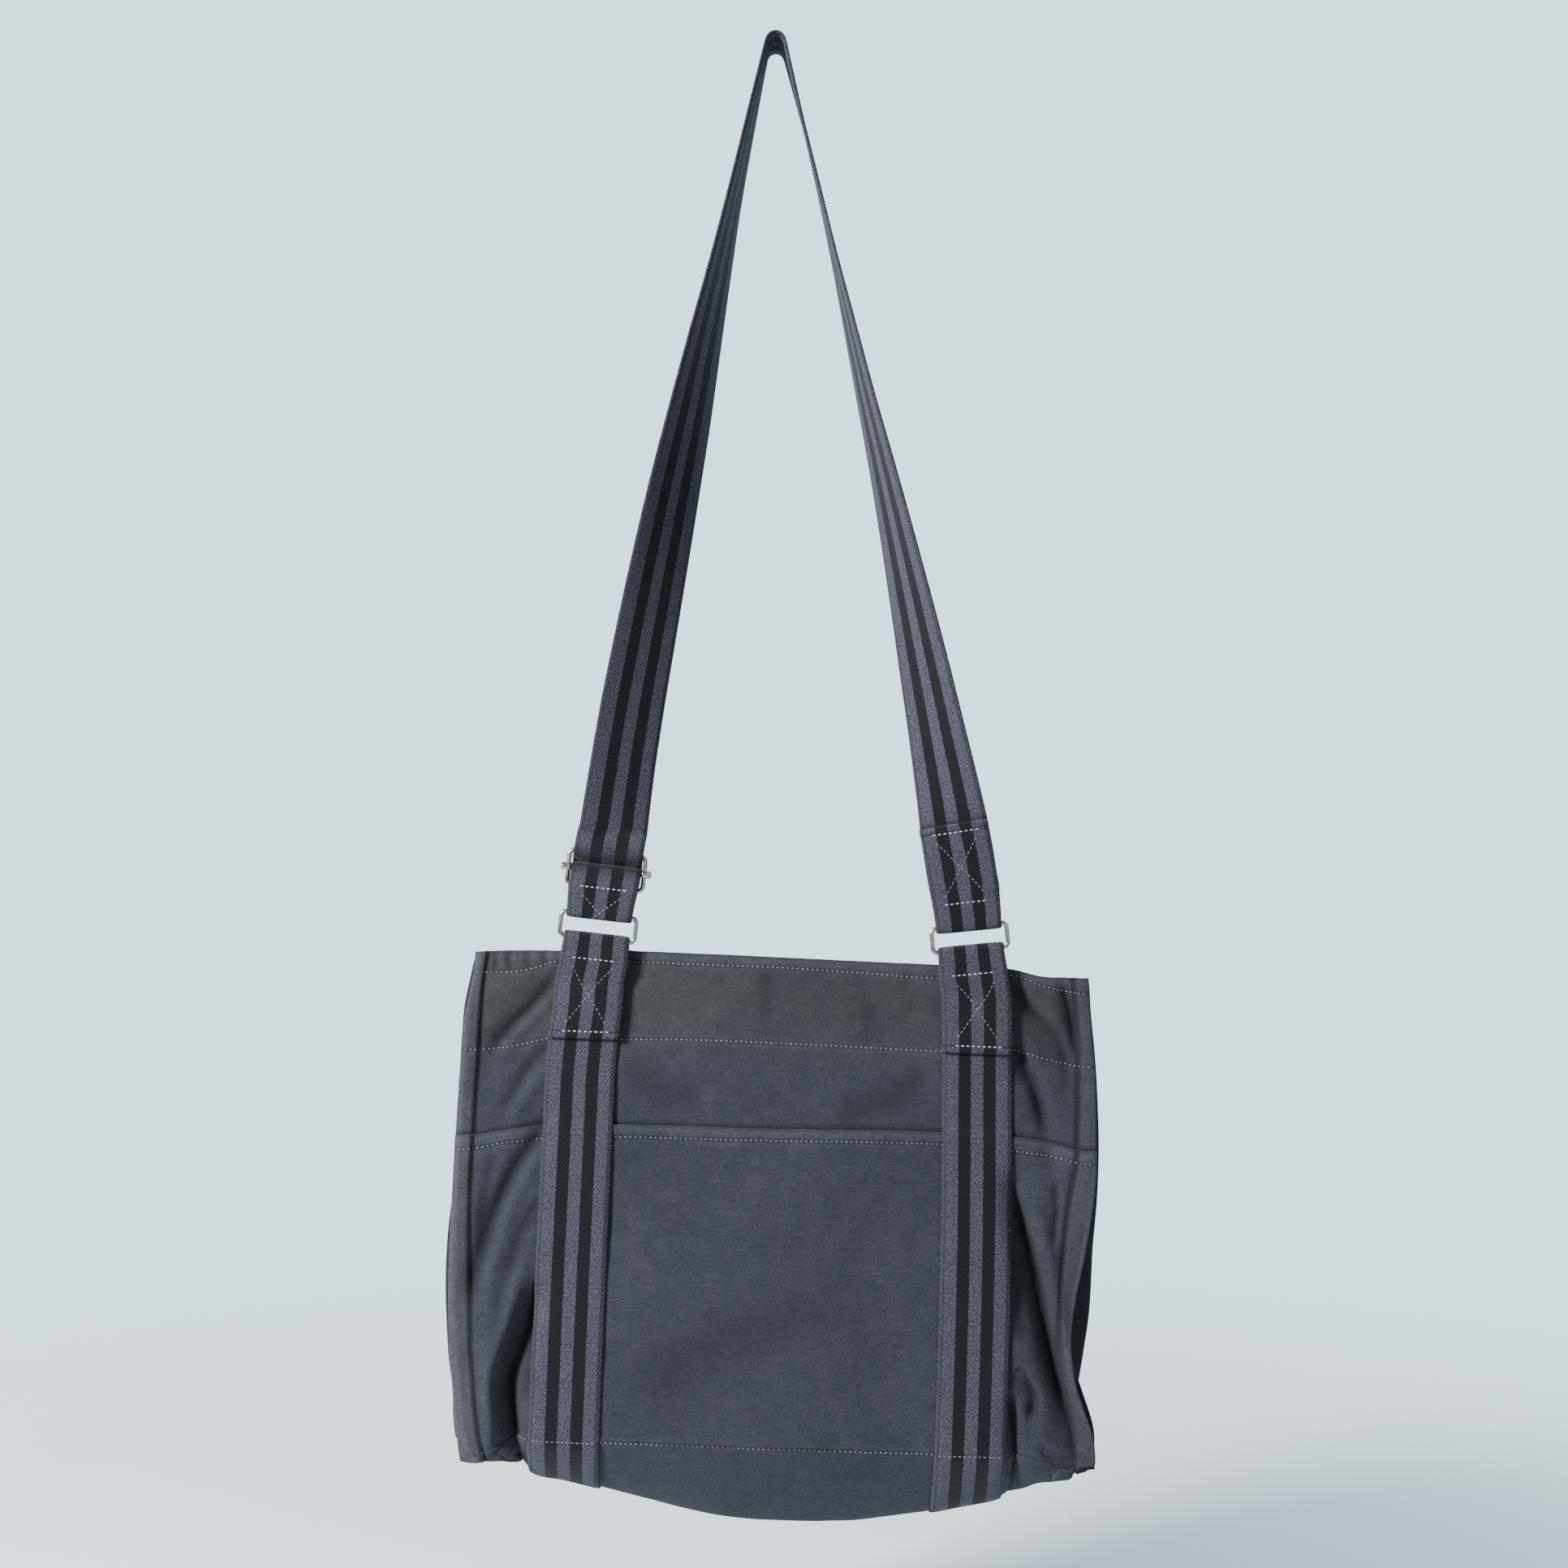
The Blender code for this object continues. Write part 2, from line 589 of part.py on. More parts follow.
def leg_line(table, low):
    """The middle line of a leg of the strap from the top down to its low end, and the direction across."""
    rows = np.array(table)
    share = np.linspace(rows[0, 0], rows[-1, 0], LEG_ROWS)
    aside = smooth(share, rows[:, 0], rows[:, 1])
    turn = np.radians(smooth(share, rows[:, 0], rows[:, 2]))
    line = np.stack([aside, share**2, share], axis=-1) * low
    tangent = np.gradient(line, axis=0)
    tangent /= np.linalg.norm(tangent, axis=1, keepdims=True)
    outward = np.cross(tangent, [0.0, 1.0, 0.0])
    outward *= np.sign(low[0]) * np.sign(outward[:, :1])
    across = np.cos(turn)[:, None] * np.array([0.0, -1.0, 0.0]) + np.sin(turn)[:, None] * outward
    across -= (across * tangent).sum(axis=1, keepdims=True) * tangent
    return line, across / np.linalg.norm(across, axis=1, keepdims=True)


def left_threading():
    """Where the strap goes on the left: its sewn end, the slider's bars, the ring and the slider again."""
    return (
        (SLIDER_RISE - SLIDER_TAIL, SLIDER_TAIL_DEPTH - TURN, 0, 1),
        (SLIDER_RISE - SLIDER_BAR, 0, TURN, 1),
        (SLIDER_RISE, 0, TURN, -1),
        (SLIDER_RISE - SLIDER_BAR, 0, TURN + LAYER, -1),
        (RING_BAR, 0, TURN, -1),
        (SLIDER_RISE, 0, TURN + LAYER, -1),
        (SLIDER_RISE + SLIDER_BAR, 0, TURN, 1),
        (SLIDER_RISE + SLIDER_BAR + LEFT_RUN, LEG_DEPTH["left"], 0, 1),
    )


def right_threading():
    """Where the strap goes on the right: down behind the ring's bar and up again in front of it."""
    return (
        (RING_BAR + RIGHT_RUN, LEG_DEPTH["right"], 0, 1),
        (RING_BAR, 0, TURN, 1),
        (RING_BAR + TAIL_RUN, GAP - TURN, 0, 1),
    )


def strap_arch():
    """The strap's bend over what it hangs from, and the direction across it."""
    turn = np.radians(np.linspace(180 - ARCH_TURN, ARCH_TURN, 9))
    height = ARCH_RISE - ARCH + ARCH * np.sin(turn)
    line = np.stack([ARCH_ASIDE + ARCH * np.cos(turn), 0 * turn, height], axis=-1)
    return line, np.tile([0.0, -1.0, 0.0], (len(line), 1))


def strap_tail(leg, turn):
    """The strap's free end on the right, one layer in front of the leg that it comes up against."""
    covered = (leg[:, 2] < leg[-1, 2] + STRAP_TAIL - RIGHT_RUN)[::-1]
    lift = np.cross(np.gradient(leg, axis=0), turn)[::-1][covered]
    lift *= -np.sign(lift[:, 1:2]) / np.linalg.norm(lift, axis=1, keepdims=True)
    return leg[::-1][covered] + lift * LAYER, turn[::-1][covered]


def shoulder_strap(name, look):
    """One webbing: sewn round the slider's bar, round the left ring, over the top and round the right ring."""
    left_fitting, left_across = fitting_line("left", left_threading())
    right_fitting, right_across = fitting_line("right", right_threading())
    left_leg, left_turn = leg_line(STRAP_LEFT, left_fitting[-1])
    right_leg, right_turn = leg_line(STRAP_RIGHT, right_fitting[0])
    arch, arch_across = strap_arch()
    tail, tail_across = strap_tail(right_leg, right_turn)
    middle = np.concatenate([left_fitting, left_leg[::-1], arch, right_leg, right_fitting, tail])
    across = [-left_across, left_turn[::-1], arch_across, right_turn, right_across, tail_across]
    return add_band(name, middle, np.concatenate(across), look)


def webbing(name, side, first, front, base, back, look):
    """A webbing up the back, round under the base, up the front, through the ring and folded down."""
    pick = slice(first, first + 3)
    path = np.concatenate([front[:, pick], base[1:-1, pick], back[::-1, pick]])
    path = shortened(path, 0.0, BACK_WEBBING_END)
    lift = webbing_lift(len(front), len(base) - 2, len(back)) + WEBBING_THICK / 2
    body = placed(raised(path, lift))[1:]
    at = ring_frame(side)
    bend = (-RING_RISE[side] - BEND_START, TURN, 0, 1)
    end = (-RING_RISE[side] - TAIL_START, GAP - TURN, 0, 1)
    fold = np.array([at(0.0, d, h) for h, d in threaded((bend, (-RING_BAR, 0, TURN, -1), end))])
    right = at(1.0, 0, 0) - at(0.0, 0, 0)
    half = ring_pinch(fold)[:, 0]
    fold = np.stack([fold - right * half, fold, fold + right * half], axis=1)
    over = webbing_lift(len(front), 0, 0) + WEBBING_THICK * 1.5 + TAIL_CLEAR
    tail = placed(raised(front[:, pick], over))[1:4]
    middle = np.concatenate([tail[::-1], fold[::-1][:-1], body])
    push = normals(middle) * WEBBING_THICK / 2
    return add_wall(name, middle + push, middle - push, look)


def webbing_lift(front, base, back):
    """How far a webbing's inner face stands off the walls' outer faces at each row of its path."""
    rows = np.array(FRONT_ROWS[:front])
    over_pocket = GAP + CANVAS + GAP
    lift = np.where(rows >= 1.95, over_pocket, GAP)
    lift = np.where(rows >= 2.0, np.where(rows < 2.1, GAP + POCKET_HEM + GAP, over_pocket), lift)
    return np.concatenate([lift, np.linspace(over_pocket, GAP, base), np.full(back, GAP)])


def main():
    for old in list(bpy.data.objects):
        bpy.data.objects.remove(old)
    canvas = {}
    for name in ("front_panel", "back_panel", "front_pocket", "base_panel", "gusset_left", "gusset_right"):
        canvas[name] = material("canvas_" + name, (0.07, 0.08, 0.1), 0.9)
    band = {n: material("webbing_" + n, (0.08, 0.085, 0.11), 0.85) for n in ("left", "right", "strap")}

    front = wall_grid(FRONT_EDGES, FRONT_LEVELS, FRONT_ROWS, front_depth)
    back = wall_grid(BACK_EDGES, BACK_LEVELS, BACK_ROWS, back_depth)
    front_wall(front, canvas)
    back_wall(back, canvas)
    base = base_wall(front, back, canvas)
    for side in ("left", "right"):
        gusset(side, front, back, base, canvas)
    webbing("webbing_left", "left", LEFT_WEBBING, front, base, back, band["left"])
    webbing("webbing_right", "right", RIGHT_WEBBING, front, base, back, band["right"])
    shoulder_strap("shoulder_strap", band["strap"])
    for side in ("left", "right"):
        wire_frame("ring_" + side, ring_frame(side), RING_WIDTH, RING_HEIGHT)
    wire_frame("slider_frame", slider_frame(), SLIDER_WIDTH, SLIDER_HEIGHT)
    slider_bar("slider_bar", slider_frame())


def front_wall(front, look):
    """The front panel and the pocket that lies on it."""
    add_wall("front_panel", placed(front), placed(raised(front, -CANVAS)), look["front_panel"])
    rows = np.array(FRONT_ROWS)
    pocket = front[rows >= 2]
    thick = np.where(rows[rows >= 2] < 2.1, POCKET_HEM, CANVAS)
    add_wall("front_pocket", placed(raised(pocket, GAP + thick)), placed(raised(pocket, GAP)), look["front_pocket"])


def back_wall(back, look):
    outer = back[:, ::-1]
    add_wall("back_panel", placed(outer), placed(raised(outer, -CANVAS)), look["back_panel"])


def base_wall(front, back, look):
    """The sagging base from the front seam to the back seam; gives its outer face's points."""
    steps = np.array(BASE_STEPS)[:, None]
    start, end = front[-1], back[-1]
    sag = column(BASE_SAG, 1, start[:, 0] / HALF_WIDTH) * SAG
    grid = np.stack([start[:, i] * (1 - steps) + end[:, i] * steps for i in (0, 1, 2)], axis=-1)
    grid[:, :, 2] += sag * (1 - np.abs(2 * steps - 1) ** BASE_ROUND)
    for sign, edge, inner in ((-1, 0, LEFT_WEBBING), (1, -1, RIGHT_WEBBING + 2)):
        plan = gusset_plan(sign, start[edge], end[edge], GUSSET_LOW)
        pull = plan - grid[:, edge, :2]
        pull[[0, -1]] = 0.0
        reach = (grid[:, :, 0] - grid[:, inner, None, 0]) / (grid[:, edge, None, 0] - grid[:, inner, None, 0])
        grid[:, :, :2] += ease(reach)[..., None] * pull[:, None, :]
    lift = (GAP + CANVAS) * (1 - steps[:, 0])
    outer = raised(grid, lift)
    outer = shortened(outer, GAP * 1.5, GAP * 1.5)
    inner = raised(outer, -CANVAS)
    inner[0] = outer[0] + [0.0, CANVAS, 0.0]
    inner[-1] = outer[-1] - [0.0, CANVAS, 0.0]
    add_wall("base_panel", placed(outer), placed(inner), look["base_panel"])
    return grid


def gusset_plan(sign, front_edge, back_edge, reach):
    """A side wall's section seen from above, as (across, depth) from the front ridge to the back one."""
    section = np.array(GUSSET_SECTION)
    inwards = np.where(section[:, 0] < 0, 0.0, RIDGE + section[:, 0] * reach)
    backwards = section[:, 1]
    inset = CANVAS * 1.5 + GAP
    half = (back_edge[1] - front_edge[1]) / 2 - inset
    near = np.stack([front_edge[0] - sign * inwards, front_edge[1] + inset + half * backwards], axis=-1)
    far = np.stack([back_edge[0] - sign * inwards, back_edge[1] - inset - half * backwards], axis=-1)
    far[-1] = near[-1] = (near[-1] + far[-1]) / 2
    return np.concatenate([near, far[:-1][::-1]])


def gusset(side, front, back, base, look):
    """A side wall folded inwards, hanging from the top edge to just above the base."""
    sign = -1 if side == "left" else 1
    edge = 0 if side == "left" else -1
    levels = np.array(GUSSET_ROWS)
    lines = []
    for level in levels:
        near = np.array([np.interp(level, FRONT_ROWS, front[:, edge, i]) for i in range(3)])
        far = np.array([np.interp(level, BACK_ROWS, back[:, edge, i]) for i in range(3)])
        share = level / 3
        reach = GUSSET_TOP + (GUSSET_LOW - GUSSET_TOP) * share
        plan = gusset_plan(sign, near, far, reach)
        steps = np.array(BASE_STEPS)
        down = near[2] * (1 - steps) + far[2] * steps
        if level == levels[0]:
            down = down + GUSSET_DROP
        if level == levels[-1]:
            down = base[:, edge, 2] - GUSSET_LIFT - GUSSET_CORNER * np.abs(2 * steps - 1) ** 4
        across, depth = follow_folds(plan, down)
        lines.append(np.stack([across, depth, down], axis=-1))
    grid = np.array(lines)
    if sign > 0:
        grid = grid[:, ::-1]
    add_wall("gusset_" + side, placed(raised(grid, CANVAS / 2)), placed(raised(grid, -CANVAS / 2)),
             look["gusset_" + side])


def follow_folds(plan, down):
    """Keeps a side wall's points clear of the folds of the front and back walls."""
    across, depth = plan[:, 0], plan[:, 1]
    clear = CANVAS * 1.5 + FOLD_CLEAR
    spread = np.linspace(-0.5, 0.5, 9)[:, None] * np.gradient(across)
    near = front_depth(across + spread, down + 0 * spread).max(axis=0) + clear
    far = back_depth(across + spread, down + 0 * spread).min(axis=0) - clear
    half = len(across) // 2
    front = np.maximum(depth, near)[: half + 1]
    back = np.minimum(depth, far)[half:]
    middle = (front[-1] + back[0]) / 2
    return across, np.concatenate([front[:-1], [middle], back[1:]])


main()
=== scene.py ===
"""The looks of a canvas shoulder bag that hangs by its striped strap: cloth, seams, webbing, steel, thread.

Lengths are in millimetres until a mesh is made. A point of the bag's body is (across, depth, down): across
runs from left to right, depth away from the viewer, and down from the top edge to the base. The body leans
in the part's frame, where +Z is up and the origin is the hanging point.
"""

import cmath
import math

import bmesh
import bpy
import numpy as np
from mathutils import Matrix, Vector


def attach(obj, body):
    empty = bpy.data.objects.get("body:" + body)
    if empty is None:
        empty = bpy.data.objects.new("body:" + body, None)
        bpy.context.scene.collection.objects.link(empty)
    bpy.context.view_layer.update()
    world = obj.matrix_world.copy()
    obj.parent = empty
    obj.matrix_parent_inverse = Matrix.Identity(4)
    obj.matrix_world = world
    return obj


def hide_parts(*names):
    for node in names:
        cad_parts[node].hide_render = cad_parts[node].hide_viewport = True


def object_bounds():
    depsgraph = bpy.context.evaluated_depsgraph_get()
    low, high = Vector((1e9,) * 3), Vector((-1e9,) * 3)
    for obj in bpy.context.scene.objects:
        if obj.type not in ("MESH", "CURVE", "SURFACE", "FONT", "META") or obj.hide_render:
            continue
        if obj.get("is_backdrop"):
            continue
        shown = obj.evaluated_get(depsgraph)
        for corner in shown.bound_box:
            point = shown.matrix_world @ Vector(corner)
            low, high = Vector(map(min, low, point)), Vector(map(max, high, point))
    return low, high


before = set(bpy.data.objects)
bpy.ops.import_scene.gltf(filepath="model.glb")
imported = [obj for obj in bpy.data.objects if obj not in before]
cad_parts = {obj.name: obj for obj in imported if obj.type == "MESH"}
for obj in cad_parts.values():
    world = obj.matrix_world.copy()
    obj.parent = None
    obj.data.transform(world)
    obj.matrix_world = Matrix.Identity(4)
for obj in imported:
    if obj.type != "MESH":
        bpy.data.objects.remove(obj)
cad_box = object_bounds()

MM = 0.001
AWAY = np.array([0.0, 1.0, 0.0])
GAP = 0.3
CANVAS = 1.5
HALF_WIDTH = 175.0
HEIGHT = 262.0
LEAN = 2.2
DROP, ASIDE = 505.7, 4.9
FRONT_TOP, FRONT_LOW = -5.0, -32.0
BACK_TOP, BACK_LOW = 9.0, 33.0
SAG = 48.0
GUSSET_TOP, GUSSET_LOW = 40.0, 14.0
GUSSET_DROP, GUSSET_LIFT, GUSSET_CORNER, GUSSET_SAG = 2.0, 3.0, 5.0, 6.0
GUSSET_POINTS = 31
RIDGE = 10.0
FOLD_WIDTH, FOLD_DEPTH, FOLD_CLEAR = 10.0, 10.0, 1.5
BASE_ROUND = 2.4

WEBBING = 37.5
WEBBING_THICK = 2.0
WEBBING_HALF = WEBBING / 2
LAYER = WEBBING_THICK + GAP
BACK_WEBBING_END = 8.0
BEND_START, TAIL_START, TAIL_END = 10.5, 4.8, 47.0
TAIL_CLEAR = 0.7
WEBBING_FOOT = {"left": -0.62, "right": 0.63}
BAND_ACROSS = np.linspace(-1, 1, 15)
BAND_MIDDLE = len(BAND_ACROSS) // 2
BAND_STEP = 0.7
STRIPES = (3.45, 10.2)
SEAM_ENDS = (-136.0, 136.0)
BOX_START, BOX, BOX_HALF, CROSS_INSET = 3.4, 40.0, 12.6, 4.2
SLIDER_ROW, SLIDER_CROSS_END = 21.3, 6.0

WIRE = 1.3
WIRE_SIDES = 20
TURN = WIRE + GAP + WEBBING_THICK / 2
RING_PLAY, RING_WINDOW, RING_CORNER = 0.65, 10.8, 2.9
RING_WIDTH = WEBBING + 2 * (2 * WIRE + RING_PLAY)
RING_HEIGHT = RING_WINDOW + 4 * WIRE
RING_BAR = RING_HEIGHT / 2 - WIRE
SLIDER_PLAY, SLIDER_SLACK = 0.95, 1.95
SLIDER_WIDTH = WEBBING + 2 * (2 * WIRE + SLIDER_PLAY)
SLIDER_HEIGHT = 6 * WIRE + 2 * (2 * LAYER + GAP + SLIDER_SLACK)
SLIDER_BAR = SLIDER_HEIGHT / 2 - WIRE
PINCHED = RING_WIDTH / 2 - WIRE - RING_CORNER - GAP
PINCH_START, PINCH_REACH = 7.0, 18.0
KNOB_WALL, KNOB_PAST, KNOB_EDGE = 0.6, 2.7, 1.0
HARDWARE_DEPTH = FRONT_TOP - 2 * WEBBING_THICK
HANG = {"left": 6.5, "right": -5.5}
RING_RISE = {"left": 13.9, "right": 15.5}
SLIDER_RISE, SLIDER_DRIFT = 31.2, 0.97

STRAP_TAIL, SLIDER_TAIL, SLIDER_TAIL_DEPTH = 60.0, 18.0, 1.4
LEFT_RUN, RIGHT_RUN, TAIL_RUN = 10.0, 22.0, 8.0
LEG_DEPTH = {"left": -0.5, "right": 0.8}
LEG_ROWS = 28
ARCH, ARCH_RISE, ARCH_ASIDE, ARCH_TURN = 5.2, 1.0, 0.3, 14.0

CAMERA = (4.9, -1253.0, -409.6)
LENS = 52.0
FLOOR = -955.0
LIT_POINT = (0.0, 0.0, -0.5)

# Shares of HEIGHT, then shares of HALF_WIDTH.
FRONT_EDGES = (
    # down, left edge, left stitch, right stitch, right edge
    (0.011, -0.971, -0.929, 0.912, 0.962),
    (0.057, -0.982, -0.937, 0.920, 0.967),
    (0.126, -0.998, -0.943, 0.931, 0.977),
    (0.214, -1.001, -0.944, 0.936, 0.989),
    (0.328, -1.003, -0.946, 0.938, 0.995),
    (0.393, -1.002, -0.946, 0.937, 0.996),
    (0.477, -1.002, -0.947, 0.915, 0.985),
    (0.565, -1.001, -0.943, 0.902, 0.965),
    (0.653, -0.997, -0.936, 0.895, 0.941),
    (0.725, -0.991, -0.929, 0.893, 0.930),
    (0.786, -0.982, -0.922, 0.897, 0.933),
    (0.828, -0.975, -0.917, 0.905, 0.945),
    (0.874, -0.966, -0.907, 0.919, 0.969),
    (0.916, -0.957, -0.900, 0.931, 0.993),
    (0.960, -0.947, -0.889, 0.945, 1.011),
    (1.000, -0.936, -0.877, 0.951, 1.014),
    (1.046, -0.903, -0.857, 0.949, 1.000),
)
BACK_EDGES = (
    # down, left edge, left stitch, right stitch, right edge
    (0.01, -0.965, -0.910, 0.905, 0.960),
    (0.25, -0.990, -0.935, 0.955, 1.010),
    (0.45, -1.010, -0.955, 0.975, 1.030),
    (0.60, -1.040, -0.985, 0.970, 1.025),
    (0.76, -1.045, -0.990, 0.968, 1.023),
    (0.85, -1.035, -0.980, 0.955, 1.010),
    (0.93, -1.018, -0.963, 0.940, 0.998),
    (1.00, -1.010, -0.950, 0.940, 0.995),
    (1.08, -0.985, -0.935, 0.935, 0.985),
)
WEBBING_LINE = (
    # down, left middle, right middle
    (-0.05, -0.587, 0.580),
    (0.00, -0.600, 0.600),
    (0.12, -0.610, 0.613),
    (0.22, -0.622, 0.618),
    (0.40, -0.623, 0.624),
    (0.55, -0.623, 0.628),
    (1.10, -0.620, 0.630),
)
FRONT_LEVELS = (
    # across, top edge, top stitch, hem stitch, pocket edge, pocket stitch, base seam
    (-1.000, 0.013, 0.056, 0.215, 0.390, 0.420, 1.034),
    (-0.931, 0.010, 0.052, 0.214, 0.388, 0.415, 1.036),
    (-0.857, 0.007, 0.050, 0.207, 0.378, 0.403, 1.023),
    (-0.783, 0.005, 0.040, 0.195, 0.370, 0.397, 1.001),
    (-0.726, 0.004, 0.026, 0.185, 0.364, 0.392, 1.000),
    (-0.623, 0.001, 0.022, 0.183, 0.361, 0.386, 1.000),
    (-0.503, -0.001, 0.020, 0.182, 0.358, 0.382, 1.000),
    (-0.257, -0.001, 0.020, 0.177, 0.356, 0.380, 1.001),
    (0.000, 0.000, 0.020, 0.177, 0.354, 0.377, 1.001),
    (0.257, 0.002, 0.025, 0.179, 0.350, 0.373, 1.000),
    (0.503, 0.003, 0.029, 0.181, 0.349, 0.372, 0.998),
    (0.623, 0.004, 0.022, 0.177, 0.350, 0.374, 0.997),
    (0.731, 0.008, 0.018, 0.174, 0.351, 0.379, 0.996),
    (0.811, 0.019, 0.036, 0.186, 0.358, 0.385, 0.997),
    (0.891, 0.020, 0.047, 0.198, 0.367, 0.393, 1.011),
    (0.943, 0.019, 0.051, 0.202, 0.375, 0.400, 1.014),
    (1.000, 0.018, 0.053, 0.202, 0.375, 0.402, 1.011),
)
BACK_LEVELS = (
    # across, top edge, top stitch, hem stitch, middle, lower middle, base seam
    (-1.00, 0.020, 0.060, 0.220, 0.560, 0.600, 1.075),
    (-0.62, 0.005, 0.027, 0.200, 0.540, 0.580, 1.030),
    (0.00, 0.006, 0.028, 0.200, 0.540, 0.580, 1.030),
    (0.62, 0.018, 0.040, 0.200, 0.540, 0.580, 1.030),
    (1.00, 0.036, 0.070, 0.215, 0.560, 0.600, 1.050),
)
TOP, TOP_STITCH, HEM, POCKET, POCKET_STITCH, SEAM = range(1, 7)
PANEL_LEVELS = (TOP, TOP_STITCH, HEM, POCKET, SEAM)
BASE_SAG = (
    # across, sag
    (-1.000, 0.05), (-0.857, 0.10), (-0.790, 0.22), (-0.731, 0.39), (-0.623, 0.49),
    (-0.503, 0.60), (-0.343, 0.75), (-0.171, 0.86), (0.000, 0.895), (0.171, 0.89),
    (0.343, 0.84), (0.503, 0.74), (0.623, 0.63), (0.731, 0.53), (0.840, 0.37),
    (0.914, 0.24), (1.000, 0.16),
)
# One row for each cloth fold: three points in shares of HALF_WIDTH and HEIGHT, then its width and depth as
# shares of FOLD_WIDTH and FOLD_DEPTH. A negative depth is a fold that stands out.
FRONT_FOLDS = (
    # start across, down, middle across, down, end across, down, width, depth
    (-0.73, 0.72, -0.85, 0.88, -0.77, 1.02, 0.75, 0.75),
    (-0.87, 0.66, -0.86, 0.85, -0.87, 1.02, 0.80, -0.40),
    (-0.73, 0.37, -0.84, 0.48, -0.92, 0.68, 0.90, 0.32),
    (-0.70, 0.07, -0.80, 0.13, -0.93, 0.23, 1.00, 0.30),
    (0.74, 0.45, 0.81, 0.66, 0.94, 0.95, 0.70, 0.95),
    (0.74, 0.17, 0.82, 0.27, 0.86, 0.40, 0.60, 0.35),
    (0.71, 0.03, 0.80, 0.08, 0.92, 0.26, 0.80, 0.30),
    (0.88, 0.04, 0.91, 0.09, 0.93, 0.18, 0.45, 0.25),
    (0.77, 0.84, 0.83, 0.87, 0.80, 0.93, 0.50, 0.30),
    (0.76, 0.89, 0.77, 0.95, 0.77, 1.03, 0.50, 0.45),
    (0.00, 0.45, 0.05, 0.62, 0.00, 0.80, 5.00, -0.25),
    (-0.25, 0.00, -0.10, 0.03, 0.20, 0.05, 2.20, 0.12),
)
BACK_FOLDS = (
    (-0.80, 0.45, -0.84, 0.66, -0.86, 0.95, 0.90, -0.50),
    (0.80, 0.40, 0.84, 0.62, 0.86, 0.92, 0.90, -0.50),
    (-0.05, 0.30, 0.05, 0.55, 0.00, 0.85, 5.00, 0.25),
)
# The front's finer creases, in millimetres: width, depth, then points across and down. A negative depth
# stands out.
CREASES = (
    (2.6, 4.8, (-125, 168), (-127, 190), (-131, 210), (-139, 229), (-137.5, 246), (-135, 262), (-139, 282)),
    (4.4, -4.6, (-133, 160), (-141, 200), (-149, 229), (-147, 250), (-148, 278)),
    (3.4, 1.6, (-126, 196), (-129, 222), (-129, 246)),
    (4.0, 2.6, (-124, 86), (-132, 104), (-141, 118), (-153, 146), (-160, 176), (-161, 196)),
    (4.2, -1.9, (-125, 102), (-137, 126), (-147, 152), (-155, 192)),
    (3.2, 2.1, (-123, 12), (-136, 30), (-150, 45), (-161, 60)),
    (3.4, -1.6, (-124, 24), (-140, 42), (-157, 62)),
    (3.6, 1.8, (-124, 48), (-138, 66), (-152, 92)),
    (3.6, -1.2, (-125, 62), (-136, 78), (-146, 96)),
    (3.4, 1.7, (-125, 132), (-136, 152), (-143, 180)),
    (3.0, 1.2, (-152, 108), (-157, 130), (-160, 156)),
    (1.8, 1.1, (-159, -2), (-158, 6), (-158, 13)),
    (1.8, 1.2, (-151, -2), (-151, 5), (-150, 12)),
    (1.8, 1.1, (-142, -2), (-141, 4), (-139, 11)),
    (1.8, 1.1, (-133, -2), (-132, 3), (-130, 10)),
    (1.8, 2.0, (-88, -2), (-86, 2), (-79, 6)),
    (2.9, 5.4, (128, 112), (134.5, 135), (140, 150), (146, 172), (150, 191), (155, 214), (160, 230),
     (166, 250)),
    (5.2, -2.8, (136, 112), (147, 148), (155, 185), (162, 214), (168, 232)),
    (4.0, 1.8, (129, 150), (134, 178), (139, 206)),
    (3.4, 2.8, (127, 40), (136, 57), (142, 69), (149, 96)),
    (4.2, -1.6, (133, 60), (143, 84), (152, 98)),
    (3.4, 2.4, (123, 6), (136, 21), (154, 40), (161, 68)),
    (4.0, -1.4, (128, 4), (142, 18), (156, 32)),
    (2.2, 2.4, (154, 8), (159.5, 24), (162.5, 50)),
    (2.4, 3.0, (133, 215), (140, 221), (144.5, 230), (142, 245)),
    (2.6, -2.0, (138, 230), (138, 243), (139, 258)),
    (2.2, 2.6, (130.5, 228), (133.5, 250), (136, 274)),
    (2.8, 2.2, (147, 256), (157, 262), (168, 262)),
    (2.8, -2.0, (145, 246), (154, 253), (165, 254)),
    (2.4, 1.7, (152, 112), (154, 132), (152, 152)),
    (9.0, 1.7, (86, 58), (62, 76), (30, 84)),
    (9.0, 1.5, (-84, 56), (-62, 74), (-36, 82)),
    (4.0, 1.0, (-8, 2), (-7, 18), (-9, 38)),
    (7.0, 1.0, (40, 22), (52, 34), (50, 48)),
    (14.0, 1.5, (-74, 244), (-20, 205), (60, 186)),
    (10.0, -1.1, (84, 120), (66, 150), (78, 190)),
)
# How far the front's lower left corner rolls down past the seam, in millimetres.
CORNER_ROLL = (
    # across, down
    (-171, 1.0), (-164, 2.5), (-157, 5.0), (-150, 6.5), (-144, 6.5), (-139, 4.5), (-136, 0.0),
)
# A side wall from the front ridge to the back ridge: how far in, with -1 on the ridge, and how far back.
GUSSET_SECTION = (
    # inwards, backwards
    (-1.00, 0.00), (0.00, 0.00), (0.14, 0.06), (0.36, 0.20), (0.60, 0.36), (0.86, 0.62), (1.00, 1.00),
)
